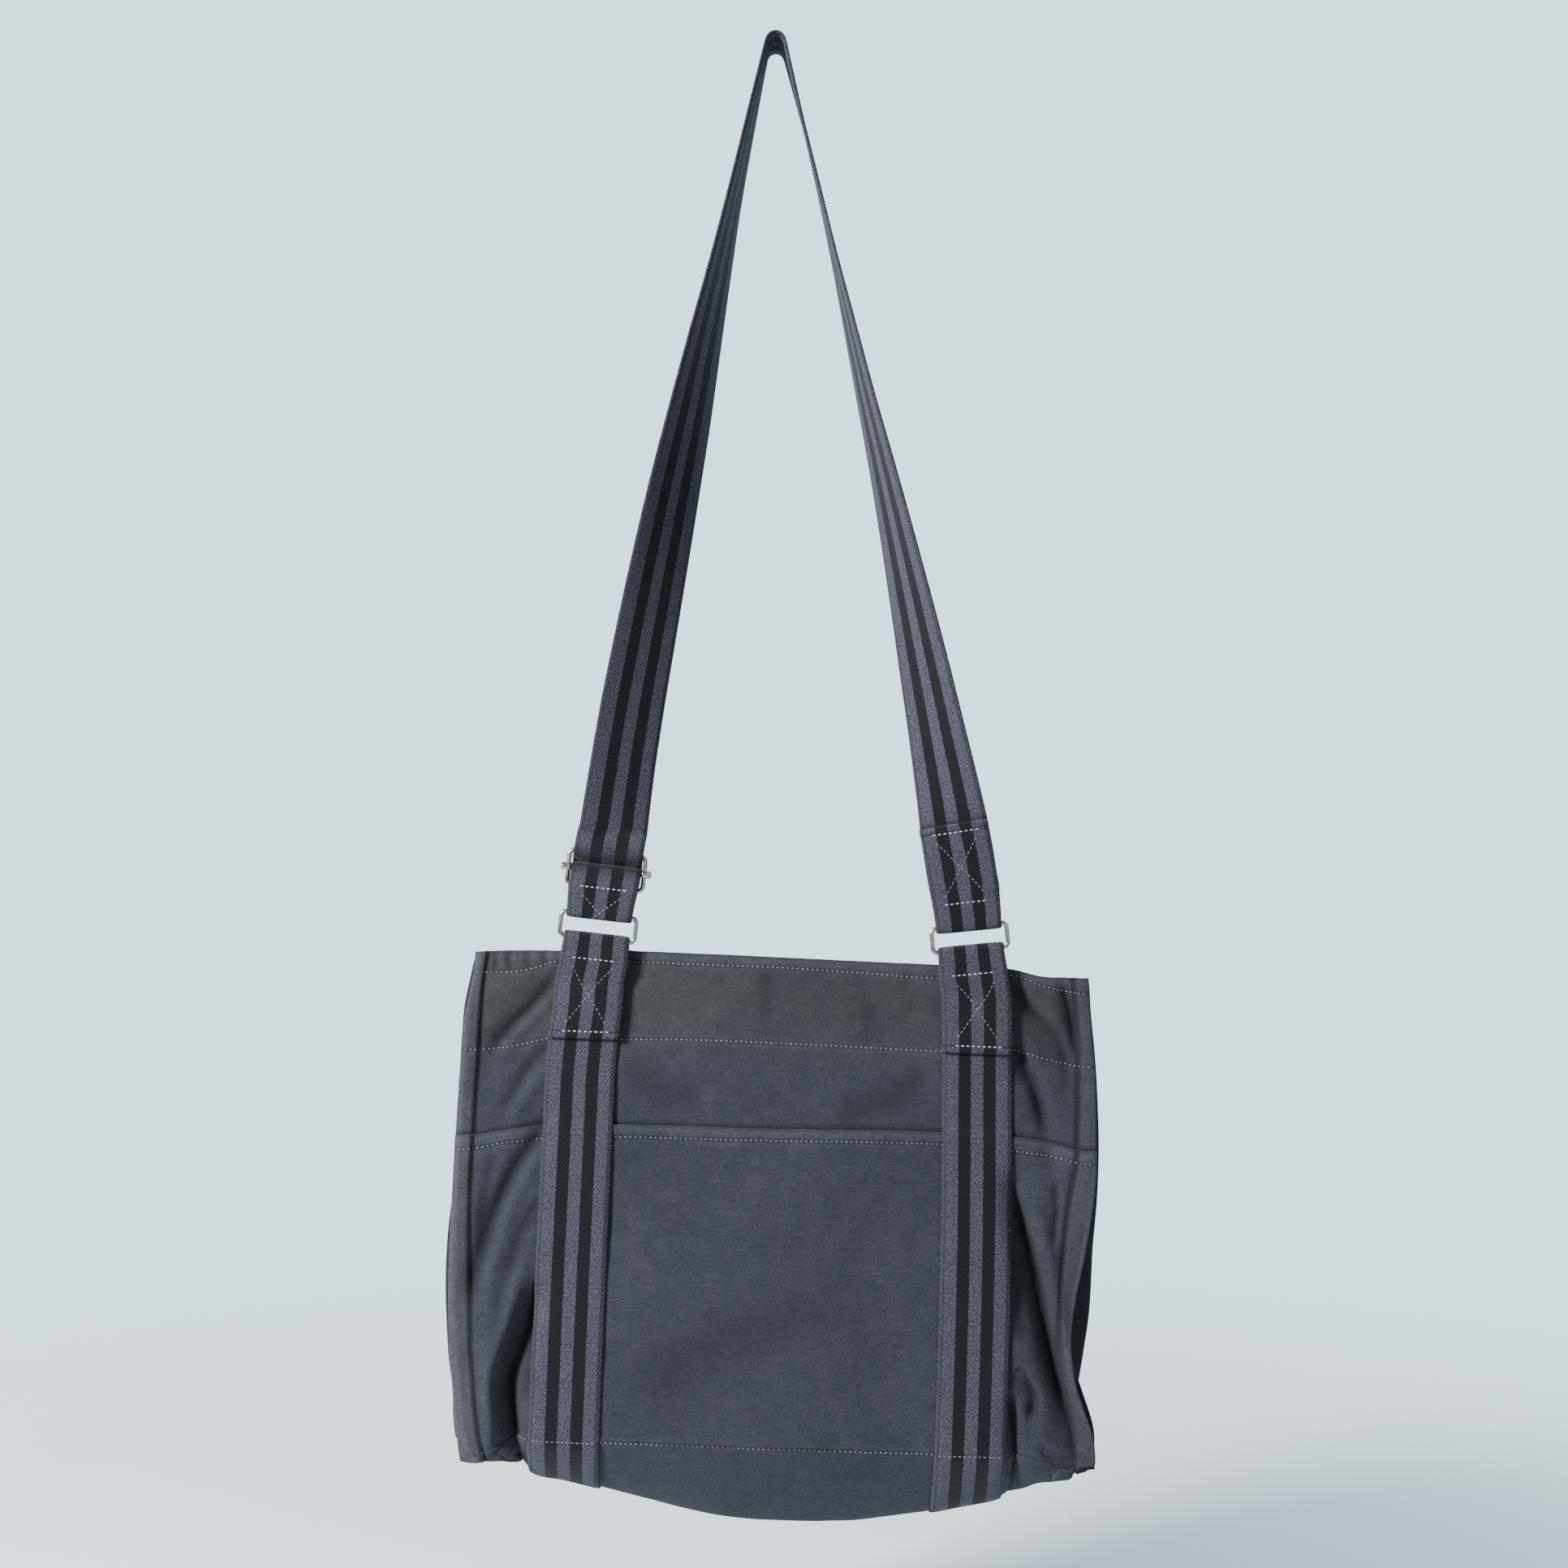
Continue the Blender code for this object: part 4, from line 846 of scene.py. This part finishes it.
def pocket_cloth():
    """The pocket: one wide flat cloth with a turned hem along its mouth and a rolled lower left corner."""
    rows = rows_between(8, 90)
    across, down = FLAT_POCKET.points((POCKET, POCKET_STITCH, SEAM), rows, FINE_ACROSS)
    roll = np.interp(across, *np.transpose(CORNER_ROLL)) * np.clip(rows - 1, 0, 1)[:, None] ** 10
    down = down + roll
    outer = FLAT_POCKET.face(across, down)
    outer[..., 1] += 0.12 * roll**2 - 0.5 * roll
    marks = FLAT_POCKET.marks(across, down)
    add_panel("pocket_cloth", "front_pocket", outer, joined(across, down), marks)


def back_cloth():
    across, down = BACK.points(PANEL_LEVELS, rows_between(4, 24, 40, 50), FINE_ACROSS[::2])
    across, down = across[:, ::-1], down[:, ::-1]
    marks = BACK.marks(across, down)
    add_panel("back_cloth", "back_panel", BACK.face(across, down), joined(across, down), marks)


def base_points(shares, steps):
    """Points of the base's outer face: a row to a step from the front seam to the back one."""
    start, end = (wall.face(*wall.points((TOP, SEAM), [1.0], shares))[0] for wall in (FRONT, BACK))
    steps = np.asarray(steps, float)[:, None]
    grid = start * (1 - steps[..., None]) + end * steps[..., None]
    sag = column(BASE_SAG, 1, start[:, 0] / HALF_WIDTH) * SAG
    grid[..., 2] += sag * (1 - np.abs(2 * steps - 1) ** BASE_ROUND)
    return grid


def gusset_plan(sign, front_edge, back_edge, reach):
    """A side wall's section seen from above, as (across, depth) from the front ridge to the back one."""
    keys = np.linspace(0, 1, len(GUSSET_SECTION))
    inwards, backwards = smooth(np.linspace(0, 1, GUSSET_POINTS), keys, GUSSET_SECTION).T
    inwards = RIDGE + inwards * np.where(inwards < 0, RIDGE, reach)
    inset = CANVAS * 1.5 + GAP
    backwards = inset + ((back_edge[1] - front_edge[1]) / 2 - inset) * np.clip(backwards, 0, 1)
    near = np.stack([front_edge[0] - sign * inwards, front_edge[1] + backwards], axis=-1)
    far = np.stack([back_edge[0] - sign * inwards, back_edge[1] - backwards], axis=-1)
    far[-1] = near[-1] = (near[-1] + far[-1]) / 2
    return np.concatenate([near, far[:-1][::-1]])


def base_cloth():
    """The sagging base, its side ends drawn in under the side walls."""
    steps = np.linspace(0, 1, 2 * GUSSET_POINTS - 1)
    grid = base_points(FINE_ACROSS, steps)
    for sign, edge, inner in ((-1, 0, KNOTS[2]), (1, -1, KNOTS[5])):
        pull = gusset_plan(sign, grid[0, edge], grid[-1, edge], GUSSET_LOW) - grid[:, edge, :2]
        pull[[0, -1]] = 0.0
        reach = (FINE_ACROSS - inner) / (FINE_ACROSS[edge] - inner)
        grid[:, :, :2] += ease(reach)[None, :, None] * pull[:, None, :]
    across, down = grid[..., 0], grid[..., 2]
    uneven = cloth_relief(across, down + grid[..., 1], 131) * ease(np.minimum(steps, 1 - steps) * 8)[:, None]
    lift = (GAP + CANVAS) * (1 - steps)[:, None] + uneven
    outer = grid + normals(grid) * lift[..., None]
    lay = joined(across, run_along(grid) + HEIGHT)
    # The base is evenly darkened a little by painted shade.
    add_panel("base_cloth", "base_panel", outer, lay, {"wear": 0.05, "warm": 0.0, "painted_shade": 0.12})


def clear_of_folds(plan, down):
    """Keeps a side wall's points clear of the folds of the front and back walls."""
    across, depth = plan.T
    clear = CANVAS * 1.5 + FOLD_CLEAR
    spread = across + np.linspace(-2, 2, 9)[:, None] * np.gradient(across)
    near = (FRONT.depth(spread, down) + FRONT.creased(spread, down)).max(axis=0) + clear
    far = BACK.depth(spread, down).min(axis=0) - clear
    half = len(across) // 2
    front, back = np.maximum(depth, near)[: half + 1], np.minimum(depth, far)[half:]
    return joined(across, np.concatenate([front[:-1], [(front[-1] + back[0]) / 2], back[1:]]), down)


def gusset_cloth(side):
    """A side wall folded inwards, hanging from the top edge to just above the base."""
    sign, edge = (-1, 0) if side == "left" else (1, -1)
    steps = np.linspace(0, 1, 2 * GUSSET_POINTS - 1)
    rise = GUSSET_LIFT + GUSSET_CORNER * np.abs(2 * steps - 1) ** 4
    sag = GUSSET_SAG * (1 - np.abs(2 * steps - 1) ** 2) - rise
    ends = [[wall.level(name, sign * HALF_WIDTH) for name in (TOP, SEAM)] for wall in (FRONT, BACK)]
    lines = []
    for share in np.linspace(0, 1, 90):
        near_down, far_down = (top * (1 - share) + share * low for top, low in ends)
        near = FRONT.face(FRONT.lines(near_down)[edge], near_down)
        far = BACK.face(BACK.lines(far_down)[edge], far_down)
        plan = gusset_plan(sign, near, far, GUSSET_TOP + (GUSSET_LOW - GUSSET_TOP) * share)
        down = near_down * (1 - steps) + far_down * steps
        lines.append(clear_of_folds(plan, down + GUSSET_DROP * ease(1 - share * 30) + share**8 * sag))
    grid = np.array(lines)[:, ::-sign]
    grid = grid + normals(grid) * 0.5 * ripple(grid[..., 1] + 40 * sign, grid[..., 2], 22, 141)[..., None]
    half = normals(grid) * CANVAS / 2
    lay = joined(run_along(grid, 1), grid[..., 2])
    # The side wall is evenly darkened by painted shade.
    marks = {"wear": 0.1, "warm": 0.0, "painted_shade": 0.3}
    add_panel("gusset_cloth_" + side, "gusset_" + side, grid + half, lay, marks, grid - half)


def webbing_middle(side, down):
    """How far across a webbing's middle line runs at a point down the wall."""
    return column(WEBBING_LINE, 1 if side == "left" else 2, down / HEIGHT) * HALF_WIDTH


def hung_frame(centre, tilt):
    """A frame of a hanging fitting: its own across, depth and up as a point of the part's frame."""
    cos, sin = math.cos(math.radians(tilt)), math.sin(math.radians(tilt))

    def at(across, depth, height):
        return centre + (cos * across + sin * height, depth, cos * height - sin * across)

    return at


def ring_frame(side):
    """The frame of a ring, which hangs over its webbing's middle line above the top edge."""
    rise = RING_RISE[side]
    return hung_frame(placed(joined(webbing_middle(side, -rise), HARDWARE_DEPTH, -rise)), HANG[side])


def slider_frame():
    """The frame of the slider, up the strap from the left ring."""
    return hung_frame(ring_frame("left")(SLIDER_DRIFT, 0.0, SLIDER_RISE), HANG["left"])


def threaded(stops, arc=14):
    """The middle line of a band pulled round bars: rows of (height, depth, radius, turn).

    A turn of 1 runs round the bar with the bar on the band's left and -1 with it on the right. The first
    and last stops are the band's ends.
    """
    spots = [complex(height, depth) for height, depth, *_ in stops]
    offsets = [radius * turn for *_, radius, turn in stops]
    runs = []
    for i, (start, end) in enumerate(zip(spots, spots[1:])):
        step = end - start
        tilt = -math.asin((offsets[i + 1] - offsets[i]) / abs(step))
        left = step / abs(step) * cmath.rect(1, tilt) * 1j
        runs.append((start - offsets[i] * left, end - offsets[i + 1] * left))
    line = [runs[0][0]]
    for (_, enter), (leave, _), middle, (*_, radius, way) in zip(runs, runs[1:], spots[1:], stops[1:]):
        start = cmath.phase(enter - middle)
        sweep = (cmath.phase(leave - middle) - start) * way % (2 * math.pi)
        sweep = 0.0 if sweep > 1.9 * math.pi else sweep
        count = max(1, math.ceil(sweep / math.pi * arc))
        line += [middle + cmath.rect(radius, start + way * sweep * k / count) for k in range(count + 1)]
    return np.array([(spot.real, spot.imag) for spot in (*line, runs[-1][1])])


def pinched(points):
    """Half the webbing's width at each point: a little less where it goes through a ring."""
    rings = [ring_frame(side)(0.0, 0.0, 0.0) for side in ("left", "right")]
    away = np.min([np.linalg.norm((points - ring)[:, ::2], axis=1) for ring in rings], axis=0)
    return WEBBING_HALF - (WEBBING_HALF - PINCHED) * (1 - ease((away - PINCH_START) / PINCH_REACH))


def resampled(rows):
    """Rows of points along a band at even steps, read smoothly between the rows given."""
    middle = rows[:, BAND_MIDDLE]
    keep = np.append(True, np.linalg.norm(np.diff(middle, axis=0), axis=1) > 0.05)
    along = run_along(middle[keep])
    even = np.linspace(0, along[-1], int(along[-1] / BAND_STEP) + 1)
    columns = rows[keep].reshape(len(along), -1).T
    flat = np.stack([np.interp(even, along, values) for values in columns], axis=-1)
    flat = flat.reshape(len(even), *rows.shape[1:])
    span = 5
    padded = np.pad(flat, ((span, span), (0, 0), (0, 0)), "edge")
    kernel = np.hanning(2 * span + 3)[1:-1]
    soft = sum(weight * padded[k : k + len(flat)] for k, weight in enumerate(kernel)) / kernel.sum()
    soft[:span], soft[-span:] = flat[:span], flat[-span:]
    return soft, even


def band_piece(name, rows, node, turned_first, painted_shade_at):
    """A webbing through rows of points across it, with its selvages notched by the weave and painted shade on
    it.
    """
    grid, along = resampled(rows)
    turned = 0.0 if turned_first else along[-1] - 3.2
    turned_end = 1 + 0.5 * bell(along - turned - 1.6, 1.5)
    thin = 1 - 0.3 * np.abs(BAND_ACROSS)[:, None] ** 10
    thick = normals(grid) * WEBBING_THICK / 2 * thin * turned_end[:, None, None]
    lay = joined(BAND_ACROSS * WEBBING_HALF, along[:, None])
    # Painted shadow just inside the turned end's fold.
    painted_shade = 0.9 * bell(along - turned - (3.6 if turned_first else -0.4), 0.45)
    # Painted shade spreading along the band from each given point.
    for point, reach in painted_shade_at:
        past = (along - beside_point((grid, thick, along), point)) * math.copysign(1, reach)
        painted_shade = painted_shade + 0.75 * bell(past, reach) * ease((past + 1.5) / 1.5)
    # Painted shade along both selvages, where the rim would catch the light.
    selvage = 0.4 * (np.abs(lay[..., 0]) > WEBBING_HALF - 1)
    marks = {"painted_shade": np.clip(painted_shade[:, None] + selvage, 0, 1)}
    add_wall(name, grid + thick, grid - thick, WEBBING_LOOK, lay, marks, node, 0.3, 0.25)
    return grid, thick, along


def over_band(band, stops, way=-1):
    """A line over a band's front, or its back, through stops of (along, across), and its normals."""
    grid, thick, along = band
    stops = np.array(stops, float)
    run = run_along(stops)
    spots = np.linspace(0, run[-1], int(run[-1]) + 2)
    row = np.interp(np.interp(spots, run, stops[:, 0]), along, np.arange(len(along)))
    col = (np.interp(spots, run, stops[:, 1]) / WEBBING_HALF + 1) * BAND_MIDDLE
    i, j = (np.clip(x.astype(int), 0, size - 2) for x, size in ((row, len(along)), (col, len(BAND_ACROSS))))
    u, v = (row - i)[:, None], (col - j)[:, None]

    def read(values):
        first, second = (values[i + k, j] * (1 - v) + values[i + k, j + 1] * v for k in (0, 1))
        return first * (1 - u) + second * u

    half = read(thick)
    half *= way * np.sign(half[:, 1:2])
    return read(grid) + half, half


def beside_point(band, point):
    """How far along a band its middle passes nearest to a point."""
    grid, _, along = band
    return along[np.argmin(np.linalg.norm(grid[:, BAND_MIDDLE] - point, axis=1))]


def sewn_row(band, along, half, way=-1):
    return over_band(band, ((along, -half), (along, half)), way)


def sewn_cross(band, start, end):
    """The two crossing rows that hold a webbing's folded end."""
    inset = CROSS_INSET * math.copysign(1, end - start)
    side = BOX_HALF - 1.5
    return [over_band(band, ((start + inset, -way), (end - inset, way))) for way in (side, -side)]


def webbing_stitches(bands):
    """The pale rows and crosses on the webbings' ends, by the slider and over the seam of the base."""
    rows, crosses = [], []
    for side in ("left", "right"):
        band = bands[side]
        rows += [sewn_row(band, along, BOX_HALF) for along in (BOX_START, BOX_START + BOX)]
        across = webbing_middle(side, HEIGHT)
        seam = FRONT.level(SEAM, across)
        spot = placed(FRONT.raised(across, seam, 0.0))
        crosses += sewn_cross(band, BOX_START, BOX_START + BOX)
        crosses.append(sewn_row(band, beside_point(band, spot), WEBBING_HALF - 1))
        crosses.append(sewn_row(band, band[2][-1] - BOX_START, BOX_HALF, 1))
    strap = bands["strap"]
    end = strap[2][-1] - BOX_START
    rows += [sewn_row(strap, along, BOX_HALF) for along in (end - 1, end - BOX)]
    crosses += sewn_cross(strap, end - 1, end - BOX)
    at = ring_frame("left")
    high, low = (beside_point(strap, at(0.0, -TURN - LAYER, rise)) for rise in (SLIDER_ROW, SLIDER_CROSS_END))
    rows.append(sewn_row(strap, high, BOX_HALF + 1))
    crosses += sewn_cross(strap, high, high + (low - high) * 1.9)
    stitches("webbing_rows", rows, PALE_THREAD, *ROW_STITCH)
    stitches("webbing_crosses", crosses, CROSS_THREAD, *CROSS_STITCH)


def fitting_line(side, stops):
    """A threaded line in the plane of a ring's hanging direction, and the direction across it."""
    at = ring_frame(side)
    drift = SLIDER_DRIFT / (SLIDER_RISE - RING_BAR) if side == "left" else 0.0
    points = [at(drift * max(height - RING_BAR, 0.0), depth, height) for height, depth in threaded(stops)]
    return points, np.tile(at(1.0, 0, 0) - at(0.0, 0, 0), (len(points), 1))


def leg_line(table, low):
    """The middle line of a leg of the strap from the top down to its low end, and the direction across."""
    share = np.linspace(table[0][0], table[-1][0], LEG_ROWS)
    aside, turn = column(table, slice(1, None), share).T
    turn = np.radians(turn)[:, None]
    line = np.stack([aside, share**2, share], axis=-1) * low
    tangent = unit(np.gradient(line, axis=0))
    outward = np.cross(tangent, AWAY)
    outward *= np.sign(low[0]) * np.sign(outward[:, :1])
    across = np.sin(turn) * outward - np.cos(turn) * AWAY
    return line, unit(across - (across * tangent).sum(axis=1, keepdims=True) * tangent)


# Where the strap goes on the left: its sewn end, the slider's bars, the ring and the slider again.
LEFT_THREADING = (
    (SLIDER_RISE - SLIDER_TAIL, SLIDER_TAIL_DEPTH - TURN, 0, 1),
    (SLIDER_RISE - SLIDER_BAR, 0, TURN, 1),
    (SLIDER_RISE, 0, TURN, -1),
    (SLIDER_RISE - SLIDER_BAR, 0, TURN + LAYER, -1),
    (RING_BAR, 0, TURN, -1),
    (SLIDER_RISE, 0, TURN + LAYER, -1),
    (SLIDER_RISE + SLIDER_BAR, 0, TURN, 1),
    (SLIDER_RISE + SLIDER_BAR + LEFT_RUN, LEG_DEPTH["left"], 0, 1),
)
# Where the strap goes on the right: down behind the ring's bar and up again in front of it.
RIGHT_THREADING = (
    (RING_BAR + RIGHT_RUN, LEG_DEPTH["right"], 0, 1),
    (RING_BAR, 0, TURN, 1),
    (RING_BAR + TAIL_RUN, GAP - TURN, 0, 1),
)


def strap_arch():
    """The strap's bend over what it hangs from, and the direction across it."""
    turn = np.radians(np.linspace(180 - ARCH_TURN, ARCH_TURN, 9))
    line = joined(ARCH_ASIDE + ARCH * np.cos(turn), 0.0, ARCH_RISE - ARCH + ARCH * np.sin(turn))
    return line, np.tile(-AWAY, (len(line), 1))


def strap_tail(leg, turn):
    """The strap's free end on the right, one layer in front of the leg that it comes up against."""
    covered = (leg[:, 2] < leg[-1, 2] + STRAP_TAIL - RIGHT_RUN)[::-1]
    lift = unit(np.cross(np.gradient(leg, axis=0), turn)[::-1][covered])
    return leg[::-1][covered] - lift * np.sign(lift[:, 1:2]) * LAYER, turn[::-1][covered]


def strap_band():
    """One webbing: sewn round the slider's bar, round the left ring, over the top, round the right ring."""
    left_fitting, left_across = fitting_line("left", LEFT_THREADING)
    right_fitting, right_across = fitting_line("right", RIGHT_THREADING)
    left_leg, left_turn = leg_line(STRAP_LEFT, left_fitting[-1])
    right_leg, right_turn = leg_line(STRAP_RIGHT, right_fitting[0])
    arch, arch_across = strap_arch()
    tail, tail_across = strap_tail(right_leg, right_turn)
    middle = np.concatenate([left_fitting, left_leg[::-1], arch, right_leg, right_fitting, tail])
    across = [-left_across, left_turn[::-1], arch_across, right_turn, right_across, tail_across]
    across = np.concatenate(across) * pinched(middle)[:, None]
    rows = middle[:, None] + across[:, None] * BAND_ACROSS[:, None]
    # Where painted shade darkens the strap: above the slider's crease, on both sides of its fold over the
    # bar, and just past the free end's tail.
    crease = slider_frame()(0.0, LEG_DEPTH["left"] - TURN / 2, TURN + LAYER)
    fold = slider_frame()(0.0, -TURN - LAYER / 2, TURN + LAYER / 2)
    behind_tail = middle[-1] + LAYER * AWAY
    painted_shade_spots = [(crease, 7.0), (fold, 4.5), (fold, -4.5), (behind_tail, -1.6)]
    return band_piece("strap_band", rows, "shoulder_strap", False, painted_shade_spots)


def on_wall(wall, side, downs, lift):
    """Rows of points across a webbing's place on a wall, raised by a lift to each row."""
    across = webbing_middle(side, downs)[:, None] + BAND_ACROSS * WEBBING_HALF
    return placed(wall.raised(across, downs[:, None] + 0 * across, np.reshape(lift, (-1, 1))))


def webbing_band(side):
    """A webbing up the back, round under the base, up the front, through the ring and folded down."""
    near = GAP + WEBBING_THICK / 2
    over_pocket = GAP + CANVAS
    centre = WEBBING_FOOT[side] * HALF_WIDTH
    tail = on_wall(FRONT, side, np.linspace(TAIL_END, TAIL_START + 12, 12), near + LAYER + TAIL_CLEAR)
    at = ring_frame(side)
    bend = (-RING_RISE[side] - BEND_START, TURN, 0, 1)
    end = (-RING_RISE[side] - TAIL_START, GAP - TURN, 0, 1)
    fold = np.array([at(0.0, d, h) for h, d in threaded((bend, (-RING_BAR, 0, TURN, -1), end))])
    right = at(1.0, 0, 0) - at(0.0, 0, 0)
    fold = fold[:, None] + right * (pinched(fold)[:, None] * BAND_ACROSS)[..., None]
    downs = np.arange(16.0, FRONT.level(SEAM, centre), 3.0)
    lift = near + over_pocket * ease((downs - FRONT.level(POCKET, centre) + 4) / 5)
    front = on_wall(FRONT, side, downs, lift)
    shares = np.interp(BAND_ACROSS, (-1, 1), KNOTS[2:4] if side == "left" else KNOTS[4:6])
    steps = np.linspace(0, 1, 49)[1:-1]
    base = base_points(shares, steps)
    base = base + normals(base) * (near + CANVAS * (1 - steps) + GAP)[:, None, None]
    up = np.arange(BACK.level(SEAM, centre) - 3, BACK_WEBBING_END + 4, -3.0)
    rows = [tail, fold[::-1], front, placed(base), on_wall(BACK, side, up, near)]
    # Painted shadow on the webbing just below the folded tail's end.
    under_tail = on_wall(FRONT, side, np.array([TAIL_END]), near)[0, BAND_MIDDLE]
    rows = np.concatenate(rows)
    return band_piece("webbing_band_" + side, rows, "webbing_" + side, True, [(under_tail, 1.6)])


def wire_piece(name, at, width, height, node):
    """A closed rounded rectangle of round wire."""
    half = (width / 2 - WIRE - RING_CORNER, height / 2 - WIRE - RING_CORNER)
    line = []
    for k, (sx, sz) in enumerate(((1, 1), (-1, 1), (-1, -1), (1, -1))):
        for turn in math.pi / 2 * (k + np.linspace(0, 1, 9)):
            x, z = sx * half[0] + RING_CORNER * math.cos(turn), sz * half[1] + RING_CORNER * math.sin(turn)
            line.append(at(x, 0.0, z))
    tangent = unit(np.roll(line, -1, axis=0) - np.roll(line, 1, axis=0))
    sideways = np.cross(tangent, AWAY)[:, None]
    turn = 2 * math.pi * np.arange(WIRE_SIDES)[:, None] / WIRE_SIDES
    points = np.array(line)[:, None] + WIRE * (np.cos(turn) * sideways + np.sin(turn) * AWAY)
    add_piece(name, points.reshape(-1, 3), tube_faces(len(line), WIRE_SIDES, True), STEEL_LOOK, node)


def slider_rod():
    """The slider's centre bar, with a waisted barrel at each end round the frame's side wire."""
    knob = WIRE + GAP + KNOB_WALL
    start, end = WEBBING_HALF + GAP, SLIDER_WIDTH / 2 + KNOB_PAST
    half = [(start, WIRE), (start + 0.2, knob - 0.7), (start + 0.5, knob - 0.3), (start + KNOB_EDGE, knob)]
    half += [(start + 1.6, knob - 0.05), ((start + end) / 2, knob - 0.4), (end - 1.7, knob - 0.05)]
    half += [(end - KNOB_EDGE, knob), (end - 0.4, knob - 0.35), (end - 0.1, knob - 0.9), (end, 0.6)]
    profile = [(-along, radius) for along, radius in reversed(half)] + [(0.0, WIRE)] + half
    at, turns = slider_frame(), 2 * math.pi * np.arange(WIRE_SIDES) / WIRE_SIDES
    points = [at(a, r * math.cos(turn), r * math.sin(turn)) for a, r in profile for turn in turns]
    add_piece("slider_rod", points, tube_faces(len(profile), WIRE_SIDES), STEEL_LOOK, "slider_bar")


def stitches(name, rows, look, length, thick, pitch):
    """Rows of stitches: each row a line of points and the outward normals there."""
    along, radius, sink = np.array(STITCH_SHAPE).T[:, :, None, None]
    sides = 6
    turn = 2 * math.pi * np.arange(sides)[:, None] / sides
    points = []
    for line, normal in rows:
        run = run_along(line)
        spots = np.arange(pitch / 2, run[-1], pitch)
        spot, before, after, out = (
            np.stack([np.interp(spots + shift, run, track) for track in values.T], axis=-1)[:, None, None]
            for values, shift in ((line, 0), (line, -pitch / 4), (line, pitch / 4), (normal, 0))
        )
        forward, out = unit(after - before), unit(out)
        middle = spot + forward * along * length + out * sink * thick / 2
        spoke = np.cos(turn) * np.cross(forward, out) + np.sin(turn) * out
        points.append(middle + thick / 2 * radius * spoke)
    points = np.concatenate(points)
    rings = len(STITCH_SHAPE)
    first = np.arange(len(points))[:, None, None] * rings * sides
    faces = (first + tube_faces(rings, sides)).reshape(-1, 4)
    add_piece(name, points.reshape(-1, 3), faces, look)


def cloth_stitches():
    """The rows along the hems, the pocket, the seam of the base and both ridges."""
    rows = []
    for wall in (FRONT, FLAT_POCKET, BACK):
        for name in wall.seams:
            ends = wall.lines(wall.level(name, 0.0))
            across = np.linspace(*(SEAM_ENDS if name == SEAM else (ends[0] + 1, ends[-1] - 1)), 200)
            rows.append(wall.row(across, wall.level(name, across)))
    stitches("seam_stitches", rows, GREY_THREAD, *SEAM_STITCH)
    rows = []
    runs = ((FRONT, 4, 98, 60), (FLAT_POCKET, 104, 268, 100), (BACK, 6, 268, 160))
    for knot in KNOT_STITCHES:
        for wall, start, end, count in runs:
            down = np.linspace(start, end, count)
            rows.append(wall.row(wall.lines(down)[:, knot], down))
    stitches("ridge_stitches", rows, DARK_THREAD, *RIDGE_STITCH)


def studio():
    """A pale floor that fades into a pale room, with soft light from the upper left."""
    scene = bpy.context.scene
    spot = (0.0, 0.1, FLOOR * MM)
    bpy.ops.mesh.primitive_circle_add(vertices=96, radius=1.4, fill_type="NGON", location=spot)
    floor = bpy.context.object
    floor.name = "floor"
    finish = finish_named("pale floor", 0.8)
    away = finish.node("ShaderNodeVectorMath", {"operation": "LENGTH"}, {0: finish.place()}, 1)
    finish.set("Base Color", (0.72, 0.76, 0.79, 1.0))
    finish.set("Alpha", 1.0 - away.rise(0.35, 1.35))
    floor.data.materials.append(finish.material)
    floor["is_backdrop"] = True
    scene.world = bpy.data.worlds.new("pale room")
    room = Finish(scene.world, "Background")
    behind = room.part(room.place(0), 1).rise(-0.3, 0.7, "LINEAR")
    room.set("Color", room.mixed(behind, (0.4, 0.44, 0.48), (1.5, 1.98, 2.28)))
    for name, place, size, power in (
        ("key", (-1.5, -1.3, 0.4), 0.45, 165.0),
        ("fill", (1.4, -1.8, -0.2), 1.6, 8.0),
    ):
        lamp = bpy.data.lights.new(name, "AREA")
        lamp.size, lamp.energy = size, power
        made = add_object(name, lamp, place)
        made.rotation_mode = "QUATERNION"
        made.rotation_quaternion = (Vector(LIT_POINT) - Vector(place)).to_track_quat("-Z", "Y")
    camera = bpy.data.cameras.new("camera")
    camera.lens = LENS
    scene.camera = add_object("camera", camera, [c * MM for c in CAMERA])
    scene.camera.rotation_euler = (math.pi / 2, 0.0, 0.0)


front_cloth()
pocket_cloth()
back_cloth()
base_cloth()
bands = {"strap": strap_band()}
for side in ("left", "right"):
    gusset_cloth(side)
    bands[side] = webbing_band(side)
    wire_piece("ring_wire_" + side, ring_frame(side), RING_WIDTH, RING_HEIGHT, "ring_" + side)
wire_piece("slider_wire", slider_frame(), SLIDER_WIDTH, SLIDER_HEIGHT, "slider_frame")
slider_rod()
cloth_stitches()
webbing_stitches(bands)
studio()

boxes = {"cad": cad_box, "visual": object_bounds()}
{name: [list(corner) for corner in box] for name, box in boxes.items()}
